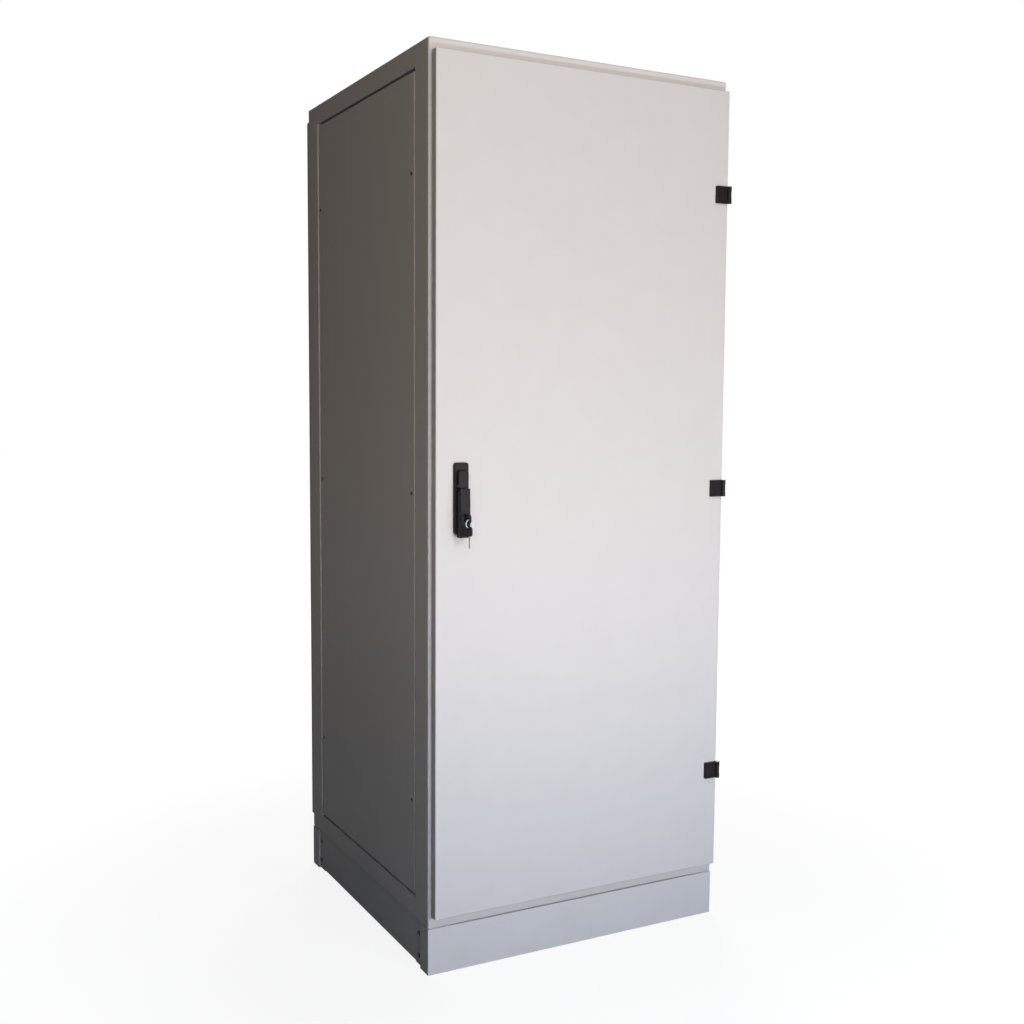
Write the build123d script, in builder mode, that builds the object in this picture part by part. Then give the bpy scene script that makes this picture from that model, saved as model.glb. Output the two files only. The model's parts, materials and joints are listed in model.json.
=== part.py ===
"""Free-standing utility cabinet in folded sheet steel: a welded frame on a plinth, screwed side and rear
panels, a hinged front door, and a swing handle that drives two lock rods through a rack and pinion.
Millimetres, +Z up, the door faces -Y, the hinges are at +X. The origin is the footprint's centre."""

import os
from math import acos, cos, hypot, pi, radians, sin, tan

from build123d import *

os.makedirs("parts", exist_ok=True)

# The cabinet as a whole
cabinet_width = 800
cabinet_depth = 800
body_height = 1993.5
plinth_height = 109
seam_height = 1.5

# Sheets, folds and general clearances
frame_sheet = 2
panel_sheet = 1.5
corner_radius = 5
fold_radius = 4
overrun = 5
slip_fit = 0.02
running_fit = 0.05
hole_clearance = 0.2
part_clearance = 0.3
dome_flat_share = 0.55
dome_rim_share = 0.35

# Plinth
plinth_sheet = 2
plinth_return = 45
plinth_tab = 38
plinth_side_recess = 4
plinth_side_raise = 5
plinth_side_gap = 1
plinth_side_fold = 16
plinth_bolt_inset = 60
plinth_bolt_edge = 25
plinth_bolt_spacing = 53
plinth_bolt_radius = 3
plinth_bolt_head_radius = 5.5
plinth_bolt_head_height = 3.3
plinth_bolt_length = 12
anchor_radius = 7
anchor_spread = 640
anchor_inset = 30

# Base frame, posts and roof
rail_height = 50
rail_lip = 18
floor_flange = 62
post_front_face = 30
post_side_face = 75
seal_return = 18
panel_land = 30
slot_flange = 26
slot_width = 9
slot_height = 14
slot_spacing = 75
slot_end_margin = 60
foot_pad_size = 56
frame_bolt_inset = 33
frame_bolt_radius = 6
frame_bolt_head_radius = 10
frame_bolt_head_height = 7
frame_bolt_reach = 14
roof_bolt_inset = 70
roof_bolt_reach = 10

# Gland plates in the floor
gland_plate_overlap = 12
gland_plate_joint = 2
gland_screw_inset = 6
gland_screw_end_inset = 40
gland_screw_radius = 2.5
gland_screw_head_radius = 5
gland_screw_head_height = 3.5

# Side panels
side_panel_gap = 5.5
side_panel_recess = 1
side_panel_depth = 20
side_panel_radius = 3
side_gasket_thickness = 3
side_gasket_width = 9
side_screw_inset = 13.5
side_screw_radius = 2.4
side_screw_head_radius = 4.5
side_screw_head_height = 2
side_screw_length = 32

# How far in from the body's ends the outer hinges and side screws sit
fixing_end_inset = 278

# Door and rear panel, which are folded trays alike but for their width
tray_side_inset = 7
tray_end_inset = 28
tray_depth = 20
tray_lip = 19
tray_corner_radius = 4
tray_fold_radius = 3
gasket_thickness = 4
gasket_width = 8
gasket_set = 3
rear_side_inset = 4
rear_screw_inset = 10
rear_screw_radius = 2.5
rear_screw_head_radius = 5
rear_screw_head_height = 2.5
rear_screw_length = 32
rear_screw_end_inset = 127
rear_screw_rows = 4

# Door stiffeners
stiffener_inset = 138
stiffener_width = 32
stiffener_foot = 14
stiffener_depth = 16
stiffener_end_gap = 60
stiffener_slot_spacing = 150

# Hinges
hinge_height = 41
hinge_leaf_width = 36
hinge_leaf_thickness = 8
hinge_axis_inset = 2
hinge_axis_stand = 7
hinge_knuckle_radius = 6.4
hinge_middle_radius = 5.6
hinge_middle_height = 17
hinge_pin_radius = 3
hinge_knuckle_gap = 0.4
hinge_web_thickness = 4.5
hinge_web_gap = 1
hinge_foot_width = 12.5
hinge_foot_thickness = 3
hinge_screw_inset = 8.5
hinge_edge_radius = 1.5
hinge_screw_spacing = 24
hinge_screw_radius = 2.5
hinge_screw_head_radius = 4.4
hinge_screw_head_height = 2.6
hinge_leaf_screw_inset = 12
hinge_leaf_screw_depth = 5

# Mounting plate and its two cross rails
plate_sheet = 2.5
plate_side_gap = 70
plate_end_gap = 70
plate_fold = 20
plate_stand = 45
plate_rail_height = 40
plate_rail_sheet = 2
rail_slots_skipped = 2
plate_bolt_radius = 4
plate_bolt_head_radius = 7.5
plate_bolt_head_height = 5.5
plate_bolt_length = 16
plate_bolt_inset = 70
plate_rail_inset = 30
plate_rail_end_gap = 1

# Swing handle
handle_inset = 67
handle_base_width = 35
handle_base_height = 160
handle_base_thickness = 8
handle_base_radius = 6
handle_base_edge = 2
handle_centre_drop = 4.25
pivot_rise = 43
handle_screw_spacing = 118
handle_screw_radius = 2.5
handle_screw_head_radius = 5
handle_screw_head_height = 3
handle_screw_depth = 5
head_width = 24
head_height = 38.5
head_thickness = 11.5
head_corner_radius = 4
head_wall = 1.6
lever_gap = 0.5
lever_wall = 3
lever_length = 110
lever_top_stand = 19
lever_grip_stand = 21
lever_end_stand = 13
lever_lip = 5.5
lever_shoulder_drop = 40
lever_pad_drop = 82
lever_root_height = 18
lever_end_chamfer = 4
lever_edge = 1.2
lever_pin_radius = 2
lever_pin_rise = 5
tongue_width = 10
tongue_side_gap = 0.6
tongue_thickness = 4
tongue_radius = 4.5
spindle_radius = 6
spindle_socket = 6

# Lock cylinder, keys and ring
lock_drop = 66
lock_radius = 8.5
lock_collar_radius = 10
lock_collar_height = 2
lock_length = 16
plug_radius = 6
plug_stand = 0.8
keyway_width = 2.5
keyway_height = 8
key_blade_width = 2
key_blade_height = 7.4
key_blade_length = 27
key_blade_in_lock = 14
key_blade_tip = 2.5
key_bow_length = 22
key_bow_height = 22
key_bow_thickness = 4
key_bow_radius = 8
key_hole_radius = 3
key_hole_inset = 4.6
ring_radius = 9
ring_section = 1.8

# Rod lock: pinion, racks, gearbox and guides
gear_module = 1.5
pinion_teeth = 16
pressure_angle = 20
addendum_share = 0.9
dedendum_share = 1.25
gear_backlash = 0.3
pinion_width = 7
rod_width = 12
rod_thickness = 5
rod_setback = 4
rod_end_gap = 2
rod_tip_chamfer = 3
rack_overlap = 12
rack_teeth_above = 6
rack_teeth_below = 2
keeper_slot_margin = 3
gearbox_wall = 3
gearbox_half_height = 36
gearbox_cover_thickness = 3
gearbox_edge = 2
guide_height = 20
guide_wall = 4
guide_inset = 110

# Places worked out from the sizes above
half_width = cabinet_width / 2
half_depth = cabinet_depth / 2
body_bottom = plinth_height + seam_height
body_top = body_bottom + body_height
body_middle = (body_bottom + body_top) / 2
opening_bottom = body_bottom + rail_height
opening_top = body_top - rail_height
opening_height = opening_top - opening_bottom
inner_fold_radius = fold_radius - frame_sheet
land_x = half_width - side_panel_recess - side_panel_depth - side_gasket_thickness
land_end = half_depth - post_side_face - panel_land
side_opening_half = half_depth - post_side_face
front_opening_half = half_width - post_front_face
fixing_pitch = body_height / 2 - fixing_end_inset
fixing_heights = [body_middle + step * fixing_pitch for step in (1, 0, -1)]
tray_width = cabinet_width - 2 * tray_side_inset
rear_width = cabinet_width - 2 * rear_side_inset
tray_height = body_height - 2 * tray_end_inset
tray_back = half_depth + gasket_thickness
tray_face = tray_back + tray_depth
skin_inside = tray_face - panel_sheet
anchor_y = half_depth - anchor_inset
frame_bolt_x = half_width - frame_bolt_inset
frame_bolt_y = half_depth - frame_bolt_inset


def facing(x, y, z):
    """A plane through a point that faces the front: its own x runs along +X and its y along +Z."""
    return Plane(origin=(x, y, z), x_dir=(1, 0, 0), z_dir=(0, -1, 0))


def outward(x, y, z, side):
    """A plane through a point on a side of the cabinet, facing away from it along X."""
    return Plane(origin=(x, y, z), x_dir=(0, side, 0), z_dir=(side, 0, 0))


def save(piece, label):
    """Labels a finished piece and writes its file."""
    piece.part.label = label
    export_step(piece.part, f"parts/{label}.step")


def hex_bolt(radius, length, head_radius, head_height):
    """A hexagon-head bolt that stands on the plane z = 0, with its shank below."""
    with BuildPart() as bolt:
        with BuildSketch():
            RegularPolygon(head_radius, 6)
        extrude(amount=head_height)
        with BuildSketch():
            Circle(radius)
        extrude(amount=-length)
    return bolt.part


def dome_screw(radius, length, head_radius, head_height):
    """A low domed screw that stands on the plane z = 0, turned about its own axis."""
    rim = head_height * dome_rim_share
    with BuildPart() as screw:
        with BuildSketch(Plane.XZ):
            with BuildLine():
                Polyline((0, head_height), (0, -length), (radius, -length), (radius, 0), (head_radius, 0))
                Line((head_radius, 0), (head_radius, rim))
                Line((head_radius, rim), (head_radius * dome_flat_share, head_height))
                Line((head_radius * dome_flat_share, head_height), (0, head_height))
            make_face()
        revolve(axis=Axis.Z)
    return screw.part


def group(piece, planes, label):
    """Writes copies of one fastener, one on each plane, as a single node."""
    with BuildPart() as fasteners:
        with Locations(*[plane.location for plane in planes]):
            add(piece)
    save(fasteners, label)


# Plinth: front and rear channels that wrap the corners, with tabs behind the side plates
side_plate_x = half_width - plinth_side_recess
tab_x = side_plate_x - plinth_sheet
bolt_heights = (plinth_bolt_edge, plinth_bolt_edge + plinth_bolt_spacing)

for name, side in (("plinth_front", -1), ("plinth_rear", 1)):
    face_y = side * half_depth
    return_y = side * (half_depth - plinth_return)
    tab_y = side * (half_depth - plinth_return - plinth_tab)
    with BuildPart() as channel:
        with BuildSketch():
            with BuildLine():
                Polyline(
                    (-tab_x, tab_y),
                    (-tab_x, return_y),
                    (-half_width, return_y),
                    (-half_width, face_y),
                    (half_width, face_y),
                    (half_width, return_y),
                    (tab_x, return_y),
                    (tab_x, tab_y),
                )
                offset(
                    amount=plinth_sheet,
                    kind=Kind.INTERSECTION,
                    side=Side.LEFT if side < 0 else Side.RIGHT,
                )
            make_face()
        extrude(amount=plinth_height)
        for level in (0, plinth_height - plinth_sheet):
            with BuildSketch(Plane.XY.offset(level)):
                with Locations((0, side * (half_depth - plinth_return / 2))):
                    Rectangle(cabinet_width - 2 * plinth_sheet, plinth_return)
            extrude(amount=plinth_sheet)
        with BuildSketch():
            with Locations((0, side * anchor_y)):
                with GridLocations(anchor_spread, 0, 2, 1):
                    Circle(anchor_radius)
        extrude(amount=plinth_sheet, mode=Mode.SUBTRACT)
        with BuildSketch(Plane.XY.offset(plinth_height)):
            with Locations((0, side * frame_bolt_y)):
                with GridLocations(2 * frame_bolt_x, 0, 2, 1):
                    Circle(frame_bolt_radius + hole_clearance)
        extrude(amount=-plinth_sheet, mode=Mode.SUBTRACT)
        with BuildSketch(Plane.YZ):
            with Locations(*[(side * (half_depth - plinth_bolt_inset), height) for height in bolt_heights]):
                Circle(plinth_bolt_radius + hole_clearance)
        extrude(amount=half_width, both=True, mode=Mode.SUBTRACT)
    save(channel, name)

# Plinth side plates: folded along the top and bottom, notched at the ends to clear the tabs
side_plate_half = half_depth - plinth_return - plinth_side_gap
notch_length = plinth_tab + plinth_side_gap

for name, side in (("plinth_side_left", -1), ("plinth_side_right", 1)):
    with BuildPart() as plate:
        with BuildSketch(Plane.XZ):
            with BuildLine():
                Polyline(
                    (side * (side_plate_x - plinth_side_fold), plinth_side_raise),
                    (side * side_plate_x, plinth_side_raise),
                    (side * side_plate_x, plinth_height),
                    (side * (side_plate_x - plinth_side_fold), plinth_height),
                )
                offset(
                    amount=plinth_sheet,
                    kind=Kind.INTERSECTION,
                    side=Side.RIGHT if side < 0 else Side.LEFT,
                )
            make_face()
        extrude(amount=side_plate_half, both=True)
        with BuildSketch():
            with Locations((side * (tab_x - plinth_side_fold / 2), 0)):
                with GridLocations(0, 2 * side_plate_half - notch_length, 1, 2):
                    Rectangle(plinth_side_fold, notch_length)
        extrude(amount=plinth_height, mode=Mode.SUBTRACT)
        with BuildSketch(Plane.YZ):
            with Locations((0, plinth_bolt_edge + plinth_bolt_spacing / 2)):
                with GridLocations(2 * (half_depth - plinth_bolt_inset), plinth_bolt_spacing, 2, 2):
                    Circle(plinth_bolt_radius + hole_clearance)
        extrude(amount=half_width, both=True, mode=Mode.SUBTRACT)
    save(plate, name)

group(
    dome_screw(plinth_bolt_radius, plinth_bolt_length, plinth_bolt_head_radius, plinth_bolt_head_height),
    [
        outward(side * side_plate_x, end * (half_depth - plinth_bolt_inset), height, side)
        for side in (-1, 1)
        for end in (-1, 1)
        for height in bolt_heights
    ],
    "plinth_side_bolts",
)

# Base frame: four C-shaped rails with a floor flange, a top lip, corner pads and flanges behind the panels
rod_front = -half_depth + rod_setback
rod_middle_y = rod_front + rod_thickness / 2
handle_x = -half_width + handle_inset
pinion_pitch_radius = gear_module * pinion_teeth / 2
addendum = gear_module * addendum_share
dedendum = gear_module * dedendum_share
rod_offset = pinion_pitch_radius - addendum + rod_width / 2
upper_rod_x = handle_x - rod_offset
lower_rod_x = handle_x + rod_offset
side_lip = half_width - land_x + frame_sheet
gland_opening_width = cabinet_width - 2 * floor_flange
gland_opening_depth = cabinet_depth - 2 * floor_flange
gland_plate_width = gland_opening_width + 2 * gland_plate_overlap
gland_plate_depth = (gland_opening_depth + 2 * gland_plate_overlap - gland_plate_joint) / 2
gland_plate_y = (gland_plate_depth + gland_plate_joint) / 2
gland_plate_top = body_bottom + 2 * frame_sheet
gland_screw_x = gland_plate_width / 2 - gland_screw_inset
gland_screw_y = gland_plate_depth - 2 * gland_screw_end_inset

with BuildPart() as base_frame:
    with BuildSketch(Plane.XY.offset(body_bottom)):
        RectangleRounded(cabinet_width, cabinet_depth, corner_radius)
    extrude(amount=rail_height)
    fillet(base_frame.faces().sort_by(Axis.Z)[0].edges(), radius=fold_radius)
    with BuildSketch(Plane.XY.offset(body_bottom + frame_sheet)):
        Rectangle(cabinet_width - 2 * frame_sheet, cabinet_depth - 2 * frame_sheet)
    extrude(amount=rail_height - 2 * frame_sheet, mode=Mode.SUBTRACT)
    with BuildSketch(Plane.XY.offset(body_bottom)):
        Rectangle(gland_opening_width, gland_opening_depth)
    extrude(amount=frame_sheet, mode=Mode.SUBTRACT)
    with BuildSketch(Plane.XY.offset(opening_bottom)):
        Rectangle(cabinet_width - 2 * side_lip, cabinet_depth - 2 * rail_lip)
    extrude(amount=-frame_sheet, mode=Mode.SUBTRACT)
    with BuildSketch(Plane.XY.offset(opening_bottom - frame_sheet)):
        with GridLocations(2 * land_x - frame_sheet, 0, 2, 1):
            Rectangle(frame_sheet, 2 * land_end)
    extrude(amount=panel_land + frame_sheet)
    with BuildSketch(Plane.XY.offset(body_bottom + frame_sheet)):
        with GridLocations(2 * frame_bolt_x, 2 * frame_bolt_y, 2, 2):
            Rectangle(foot_pad_size, foot_pad_size)
    extrude(amount=-seam_height - frame_sheet)
    with BuildSketch(Plane.XY.offset(plinth_height)):
        with GridLocations(2 * frame_bolt_x, 2 * frame_bolt_y, 2, 2):
            Circle(frame_bolt_radius + hole_clearance)
    extrude(amount=seam_height + frame_sheet, mode=Mode.SUBTRACT)
    with BuildSketch(Plane.XY.offset(body_bottom)):
        with Locations((0, gland_plate_y), (0, -gland_plate_y)):
            with GridLocations(2 * gland_screw_x, gland_screw_y, 2, 2):
                Circle(gland_screw_radius + hole_clearance)
    extrude(amount=frame_sheet, mode=Mode.SUBTRACT)
    with BuildSketch(Plane.XY.offset(opening_bottom)):
        with Locations((lower_rod_x, rod_middle_y)):
            Rectangle(rod_width + 2 * keeper_slot_margin, rod_thickness + keeper_slot_margin)
    extrude(amount=-frame_sheet, mode=Mode.SUBTRACT)
save(base_frame, "base_frame")

group(
    hex_bolt(
        frame_bolt_radius, frame_sheet + frame_bolt_reach, frame_bolt_head_radius, frame_bolt_head_height
    ),
    [
        Plane(origin=(x * frame_bolt_x, y * frame_bolt_y, body_bottom + frame_sheet))
        for x in (-1, 1)
        for y in (-1, 1)
    ],
    "plinth_frame_bolts",
)

for name, side in (("gland_plate_front", -1), ("gland_plate_rear", 1)):
    with BuildPart() as gland_plate:
        with BuildSketch(Plane.XY.offset(body_bottom + frame_sheet)):
            with Locations((0, side * gland_plate_y)):
                Rectangle(gland_plate_width, gland_plate_depth)
                with GridLocations(2 * gland_screw_x, gland_screw_y, 2, 2):
                    Circle(gland_screw_radius + hole_clearance, mode=Mode.SUBTRACT)
        extrude(amount=frame_sheet)
    save(gland_plate, name)

group(
    hex_bolt(gland_screw_radius, 2 * frame_sheet + overrun, gland_screw_head_radius, gland_screw_head_height),
    [
        Plane(origin=(x * gland_screw_x, y * gland_plate_y + row * gland_screw_y / 2, gland_plate_top))
        for x in (-1, 1)
        for y in (-1, 1)
        for row in (-1, 1)
    ],
    "gland_plate_screws",
)

# Corner posts: one folded profile with a seal return, a panel land and a slotted mounting flange
post_outline = [
    (-front_opening_half, -half_depth + seal_return),
    (-front_opening_half, -half_depth),
    (-half_width, -half_depth),
    (-half_width, -side_opening_half),
    (-land_x, -side_opening_half),
    (-land_x, -land_end),
    (-land_x + slot_flange, -land_end),
]
slot_x = land_x - slot_flange / 2 - frame_sheet
slot_count = int((opening_height - 2 * slot_end_margin) / slot_spacing) + 1
side_screw_y = side_opening_half - side_panel_gap - side_screw_inset
hinge_axis_x = half_width - tray_side_inset - hinge_axis_inset
hinge_axis_y = -tray_face - hinge_axis_stand
hinge_web_inside = half_width - tray_side_inset + hinge_web_gap
hinge_foot_right = hinge_web_inside + hinge_web_thickness
hinge_screw_x = hinge_foot_right - hinge_screw_inset
hinge_screw_heights = [
    height + row * hinge_screw_spacing / 2 for height in fixing_heights for row in (-1, 1)
]
rear_screw_x = half_width - rear_side_inset - rear_screw_inset
rear_screw_pitch = (tray_height - 2 * rear_screw_end_inset) / (rear_screw_rows - 1)
rear_screw_low = body_middle - tray_height / 2 + rear_screw_end_inset
rear_screw_heights = [rear_screw_low + row * rear_screw_pitch for row in range(rear_screw_rows)]

with BuildPart() as post_front_left:
    with BuildSketch(Plane.XY.offset(opening_bottom)):
        with BuildLine():
            FilletPolyline(
                *post_outline,
                radius=(fold_radius, corner_radius, fold_radius, inner_fold_radius, fold_radius),
            )
            offset(amount=frame_sheet, side=Side.RIGHT)
        make_face()
    extrude(amount=opening_height)
    with BuildSketch(facing(-slot_x, -land_end, body_middle)):
        with GridLocations(0, slot_spacing, 1, slot_count):
            Rectangle(slot_width, slot_height)
    extrude(amount=frame_sheet, mode=Mode.SUBTRACT)
    with BuildSketch(Plane.YZ.offset(-land_x)):
        with Locations(*[(-side_screw_y, height) for height in fixing_heights]):
            Circle(side_screw_radius + hole_clearance)
    extrude(amount=frame_sheet, mode=Mode.SUBTRACT)
save(post_front_left, "post_front_left")

with BuildPart() as post_front_right:
    mirror(post_front_left.part, about=Plane.YZ)
    with BuildSketch(facing(0, -half_depth, 0)):
        with Locations(*[(hinge_screw_x, height) for height in hinge_screw_heights]):
            Circle(hinge_screw_radius + hole_clearance)
    extrude(amount=-frame_sheet, mode=Mode.SUBTRACT)
save(post_front_right, "post_front_right")

with BuildPart() as post_rear_left:
    mirror(post_front_left.part, about=Plane.XZ)
    with BuildSketch(facing(0, half_depth, 0)):
        with Locations(*[(-rear_screw_x, height) for height in rear_screw_heights]):
            Circle(rear_screw_radius + hole_clearance)
    extrude(amount=frame_sheet, mode=Mode.SUBTRACT)
save(post_rear_left, "post_rear_left")

with BuildPart() as post_rear_right:
    mirror(post_rear_left.part, about=Plane.YZ)
save(post_rear_right, "post_rear_right")

# Roof: a shallow tray turned over, with lips, panel flanges, a keeper slot and four closed lifting points
roof_bolt_x = half_width - roof_bolt_inset
roof_bolt_y = half_depth - roof_bolt_inset

with BuildPart() as roof:
    with BuildSketch(Plane.XY.offset(opening_top)):
        RectangleRounded(cabinet_width, cabinet_depth, corner_radius)
    extrude(amount=rail_height)
    fillet(roof.faces().sort_by(Axis.Z)[-1].edges(), radius=fold_radius)
    offset(amount=-frame_sheet, openings=roof.faces().sort_by(Axis.Z)[0])
    with BuildSketch(Plane.XY.offset(opening_top)):
        Rectangle(cabinet_width - 2 * frame_sheet, cabinet_depth - 2 * frame_sheet)
        Rectangle(cabinet_width - 2 * side_lip, cabinet_depth - 2 * rail_lip, mode=Mode.SUBTRACT)
        with Locations((upper_rod_x, rod_middle_y)):
            Rectangle(
                rod_width + 2 * keeper_slot_margin,
                rod_thickness + keeper_slot_margin,
                mode=Mode.SUBTRACT,
            )
    extrude(amount=frame_sheet)
    with BuildSketch(Plane.XY.offset(opening_top + frame_sheet)):
        with GridLocations(2 * land_x - frame_sheet, 0, 2, 1):
            Rectangle(frame_sheet, 2 * land_end)
    extrude(amount=-panel_land - frame_sheet)
    with BuildSketch(Plane.XY.offset(body_top)):
        with GridLocations(2 * roof_bolt_x, 2 * roof_bolt_y, 2, 2):
            Circle(frame_bolt_radius + hole_clearance)
    extrude(amount=-frame_sheet, mode=Mode.SUBTRACT)
save(roof, "roof")

group(
    hex_bolt(
        frame_bolt_radius, frame_sheet + roof_bolt_reach, frame_bolt_head_radius, frame_bolt_head_height
    ),
    [
        Plane(origin=(x * roof_bolt_x, y * roof_bolt_y, body_top))
        for x in (-1, 1)
        for y in (-1, 1)
    ],
    "roof_bolts",
)

# Side panels: shallow trays that sit in the side openings on a foam strip, held by six screws each
side_panel_width = 2 * (side_opening_half - side_panel_gap)
side_panel_height = opening_height - 2 * side_panel_gap
side_face_x = half_width - side_panel_recess

for name, side in (("left", -1), ("right", 1)):
    with BuildPart() as side_panel:
        with BuildSketch(outward(side * (side_face_x - side_panel_depth), 0, body_middle, side)):
            RectangleRounded(side_panel_width, side_panel_height, side_panel_radius + panel_sheet)
        extrude(amount=side_panel_depth)
        fillet(
            side_panel.faces().sort_by(Axis.X)[0 if side < 0 else -1].edges(), radius=side_panel_radius
        )
        offset(
            amount=-panel_sheet, openings=side_panel.faces().sort_by(Axis.X)[-1 if side < 0 else 0]
        )
        with BuildSketch(outward(side * side_face_x, 0, body_middle, side)):
            with GridLocations(2 * side_screw_y, fixing_pitch, 2, 3):
                Circle(side_screw_radius + hole_clearance)
        extrude(amount=-panel_sheet, mode=Mode.SUBTRACT)
    save(side_panel, f"side_panel_{name}")

    with BuildPart() as side_gasket:
        with BuildSketch(outward(side * land_x, 0, body_middle, side)):
            Rectangle(side_panel_width, side_panel_height)
            Rectangle(
                side_panel_width - 2 * side_gasket_width,
                side_panel_height - 2 * side_gasket_width,
                mode=Mode.SUBTRACT,
            )
        extrude(amount=side_gasket_thickness)
    save(side_gasket, f"side_gasket_{name}")

group(
    dome_screw(side_screw_radius, side_screw_length, side_screw_head_radius, side_screw_head_height),
    [
        outward(side * side_face_x, end * side_screw_y, height, side)
        for side in (-1, 1)
        for end in (-1, 1)
        for height in fixing_heights
    ],
    "side_panel_screws",
)


def closing_tray(width):
    """The folded tray that closes an end: a skin, four returns and an inner lip that carries the seal."""
    with BuildPart() as tray:
        with BuildSketch(facing(0, -tray_back, body_middle)):
            RectangleRounded(width, tray_height, tray_corner_radius)
        extrude(amount=tray_depth)
        fillet(tray.faces().sort_by(Axis.Y)[0].edges(), radius=tray_fold_radius)
        offset(amount=-panel_sheet, openings=tray.faces().sort_by(Axis.Y)[-1])
        with BuildSketch(facing(0, -tray_back, body_middle)):
            Rectangle(width - 2 * panel_sheet, tray_height - 2 * panel_sheet)
            Rectangle(tray_width - 2 * tray_lip, tray_height - 2 * tray_lip, mode=Mode.SUBTRACT)
        extrude(amount=panel_sheet)
    return tray.part


def seal_strip(thickness):
    """The foam seal on the tray's lip, which meets the frame just outside the opening."""
    seal_width = 2 * (front_opening_half + gasket_set)
    seal_height = opening_height + 2 * gasket_set
    with BuildPart() as seal:
        with BuildSketch(facing(0, -tray_back, body_middle)):
            Rectangle(seal_width + 2 * gasket_width, seal_height + 2 * gasket_width)
            Rectangle(seal_width, seal_height, mode=Mode.SUBTRACT)
        extrude(amount=-thickness)
    return seal.part


# Rear panel: a wider tray turned to the back, screwed to the rear posts
with BuildPart() as rear_panel:
    mirror(closing_tray(rear_width), about=Plane.XZ)
    with BuildSketch(facing(0, tray_face, body_middle)):
        with GridLocations(2 * rear_screw_x, rear_screw_pitch, 2, rear_screw_rows):
            Circle(rear_screw_radius + hole_clearance)
    extrude(amount=tray_depth, mode=Mode.SUBTRACT)
save(rear_panel, "rear_panel")

with BuildPart() as rear_gasket:
    mirror(seal_strip(gasket_thickness), about=Plane.XZ)
save(rear_gasket, "rear_gasket")

group(
    dome_screw(rear_screw_radius, rear_screw_length, rear_screw_head_radius, rear_screw_head_height),
    [
        Plane(origin=(side * rear_screw_x, tray_face, height), x_dir=(1, 0, 0), z_dir=(0, 1, 0))
        for side in (-1, 1)
        for height in rear_screw_heights
    ],
    "rear_panel_screws",
)

# Mounting plate inside, folded along its upright edges, on two cross rails between the rear posts
plate_rail_y = land_end - plate_stand
plate_width = cabinet_width - 2 * plate_side_gap
plate_rail_step = plate_width / 2 - plate_rail_inset
plate_bolt_spread = plate_width - 2 * plate_bolt_inset
plate_height = opening_height - 2 * plate_end_gap
plate_rail_spread = (slot_count - 1 - 2 * rail_slots_skipped) * slot_spacing
rail_foot_x = land_x - plate_rail_end_gap - frame_sheet
rail_foot_y = land_end - plate_rail_sheet

with BuildPart() as mounting_plate:
    with BuildSketch(Plane.XY.offset(body_middle - plate_height / 2)):
        with BuildLine():
            Polyline(
                (-plate_width / 2, plate_rail_y + plate_fold - plate_sheet),
                (-plate_width / 2, plate_rail_y - plate_sheet),
                (plate_width / 2, plate_rail_y - plate_sheet),
                (plate_width / 2, plate_rail_y + plate_fold - plate_sheet),
            )
            offset(amount=plate_sheet, kind=Kind.INTERSECTION, side=Side.LEFT)
        make_face()
    extrude(amount=plate_height)
    with BuildSketch(facing(0, plate_rail_y, body_middle)):
        with GridLocations(plate_bolt_spread, plate_rail_spread, 2, 2):
            Circle(plate_bolt_radius + hole_clearance)
    extrude(amount=plate_sheet, mode=Mode.SUBTRACT)
save(mounting_plate, "mounting_plate")

for name, row in (("plate_rail_upper", 0.5), ("plate_rail_lower", -0.5)):
    rail_z = body_middle + row * plate_rail_spread
    with BuildPart() as plate_rail:
        with BuildSketch(Plane.XY.offset(rail_z - plate_rail_height / 2)):
            with BuildLine():
                Polyline(
                    (-rail_foot_x, rail_foot_y),
                    (-plate_rail_step, rail_foot_y),
                    (-plate_rail_step, plate_rail_y),
                    (plate_rail_step, plate_rail_y),
                    (plate_rail_step, rail_foot_y),
                    (rail_foot_x, rail_foot_y),
                )
                offset(amount=plate_rail_sheet, kind=Kind.INTERSECTION, side=Side.LEFT)
            make_face()
        extrude(amount=plate_rail_height)
        with BuildSketch(facing(0, plate_rail_y, rail_z)):
            with GridLocations(plate_bolt_spread, 0, 2, 1):
                Circle(plate_bolt_radius + hole_clearance)
        extrude(amount=-plate_rail_sheet, mode=Mode.SUBTRACT)
        with BuildSketch(facing(0, rail_foot_y, rail_z)):
            with GridLocations(2 * slot_x, 0, 2, 1):
                Circle(plate_bolt_radius + hole_clearance)
        extrude(amount=-plate_rail_sheet, mode=Mode.SUBTRACT)
    save(plate_rail, name)

# The plate's own bolts come from behind and end flush, so that its face is clear; the others pass the slots
plate_bolt_heights = [body_middle + row * plate_rail_spread / 2 for row in (-1, 1)]

with BuildPart() as plate_bolts:
    with Locations(
        *[
            Plane(
                origin=(x * plate_bolt_spread / 2, plate_rail_y + plate_rail_sheet, height),
                x_dir=(1, 0, 0),
                z_dir=(0, 1, 0),
            ).location
            for x in (-1, 1)
            for height in plate_bolt_heights
        ]
    ):
        add(
            hex_bolt(
                plate_bolt_radius,
                plate_rail_sheet + plate_sheet,
                plate_bolt_head_radius,
                plate_bolt_head_height,
            )
        )
    with Locations(
        *[facing(x * slot_x, rail_foot_y, height).location for x in (-1, 1) for height in plate_bolt_heights]
    ):
        add(hex_bolt(plate_bolt_radius, plate_bolt_length, plate_bolt_head_radius, plate_bolt_head_height))
save(plate_bolts, "plate_bolts")

# Door: the folded tray with its seal, cut for the handle and the hinge screws
pivot_z = body_middle - handle_centre_drop + pivot_rise
handle_z = body_middle - handle_centre_drop
sleeve_radius = spindle_radius + gearbox_wall
leaf_left = hinge_axis_x - hinge_leaf_width
leaf_screw_x = leaf_left + hinge_leaf_screw_inset

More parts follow.
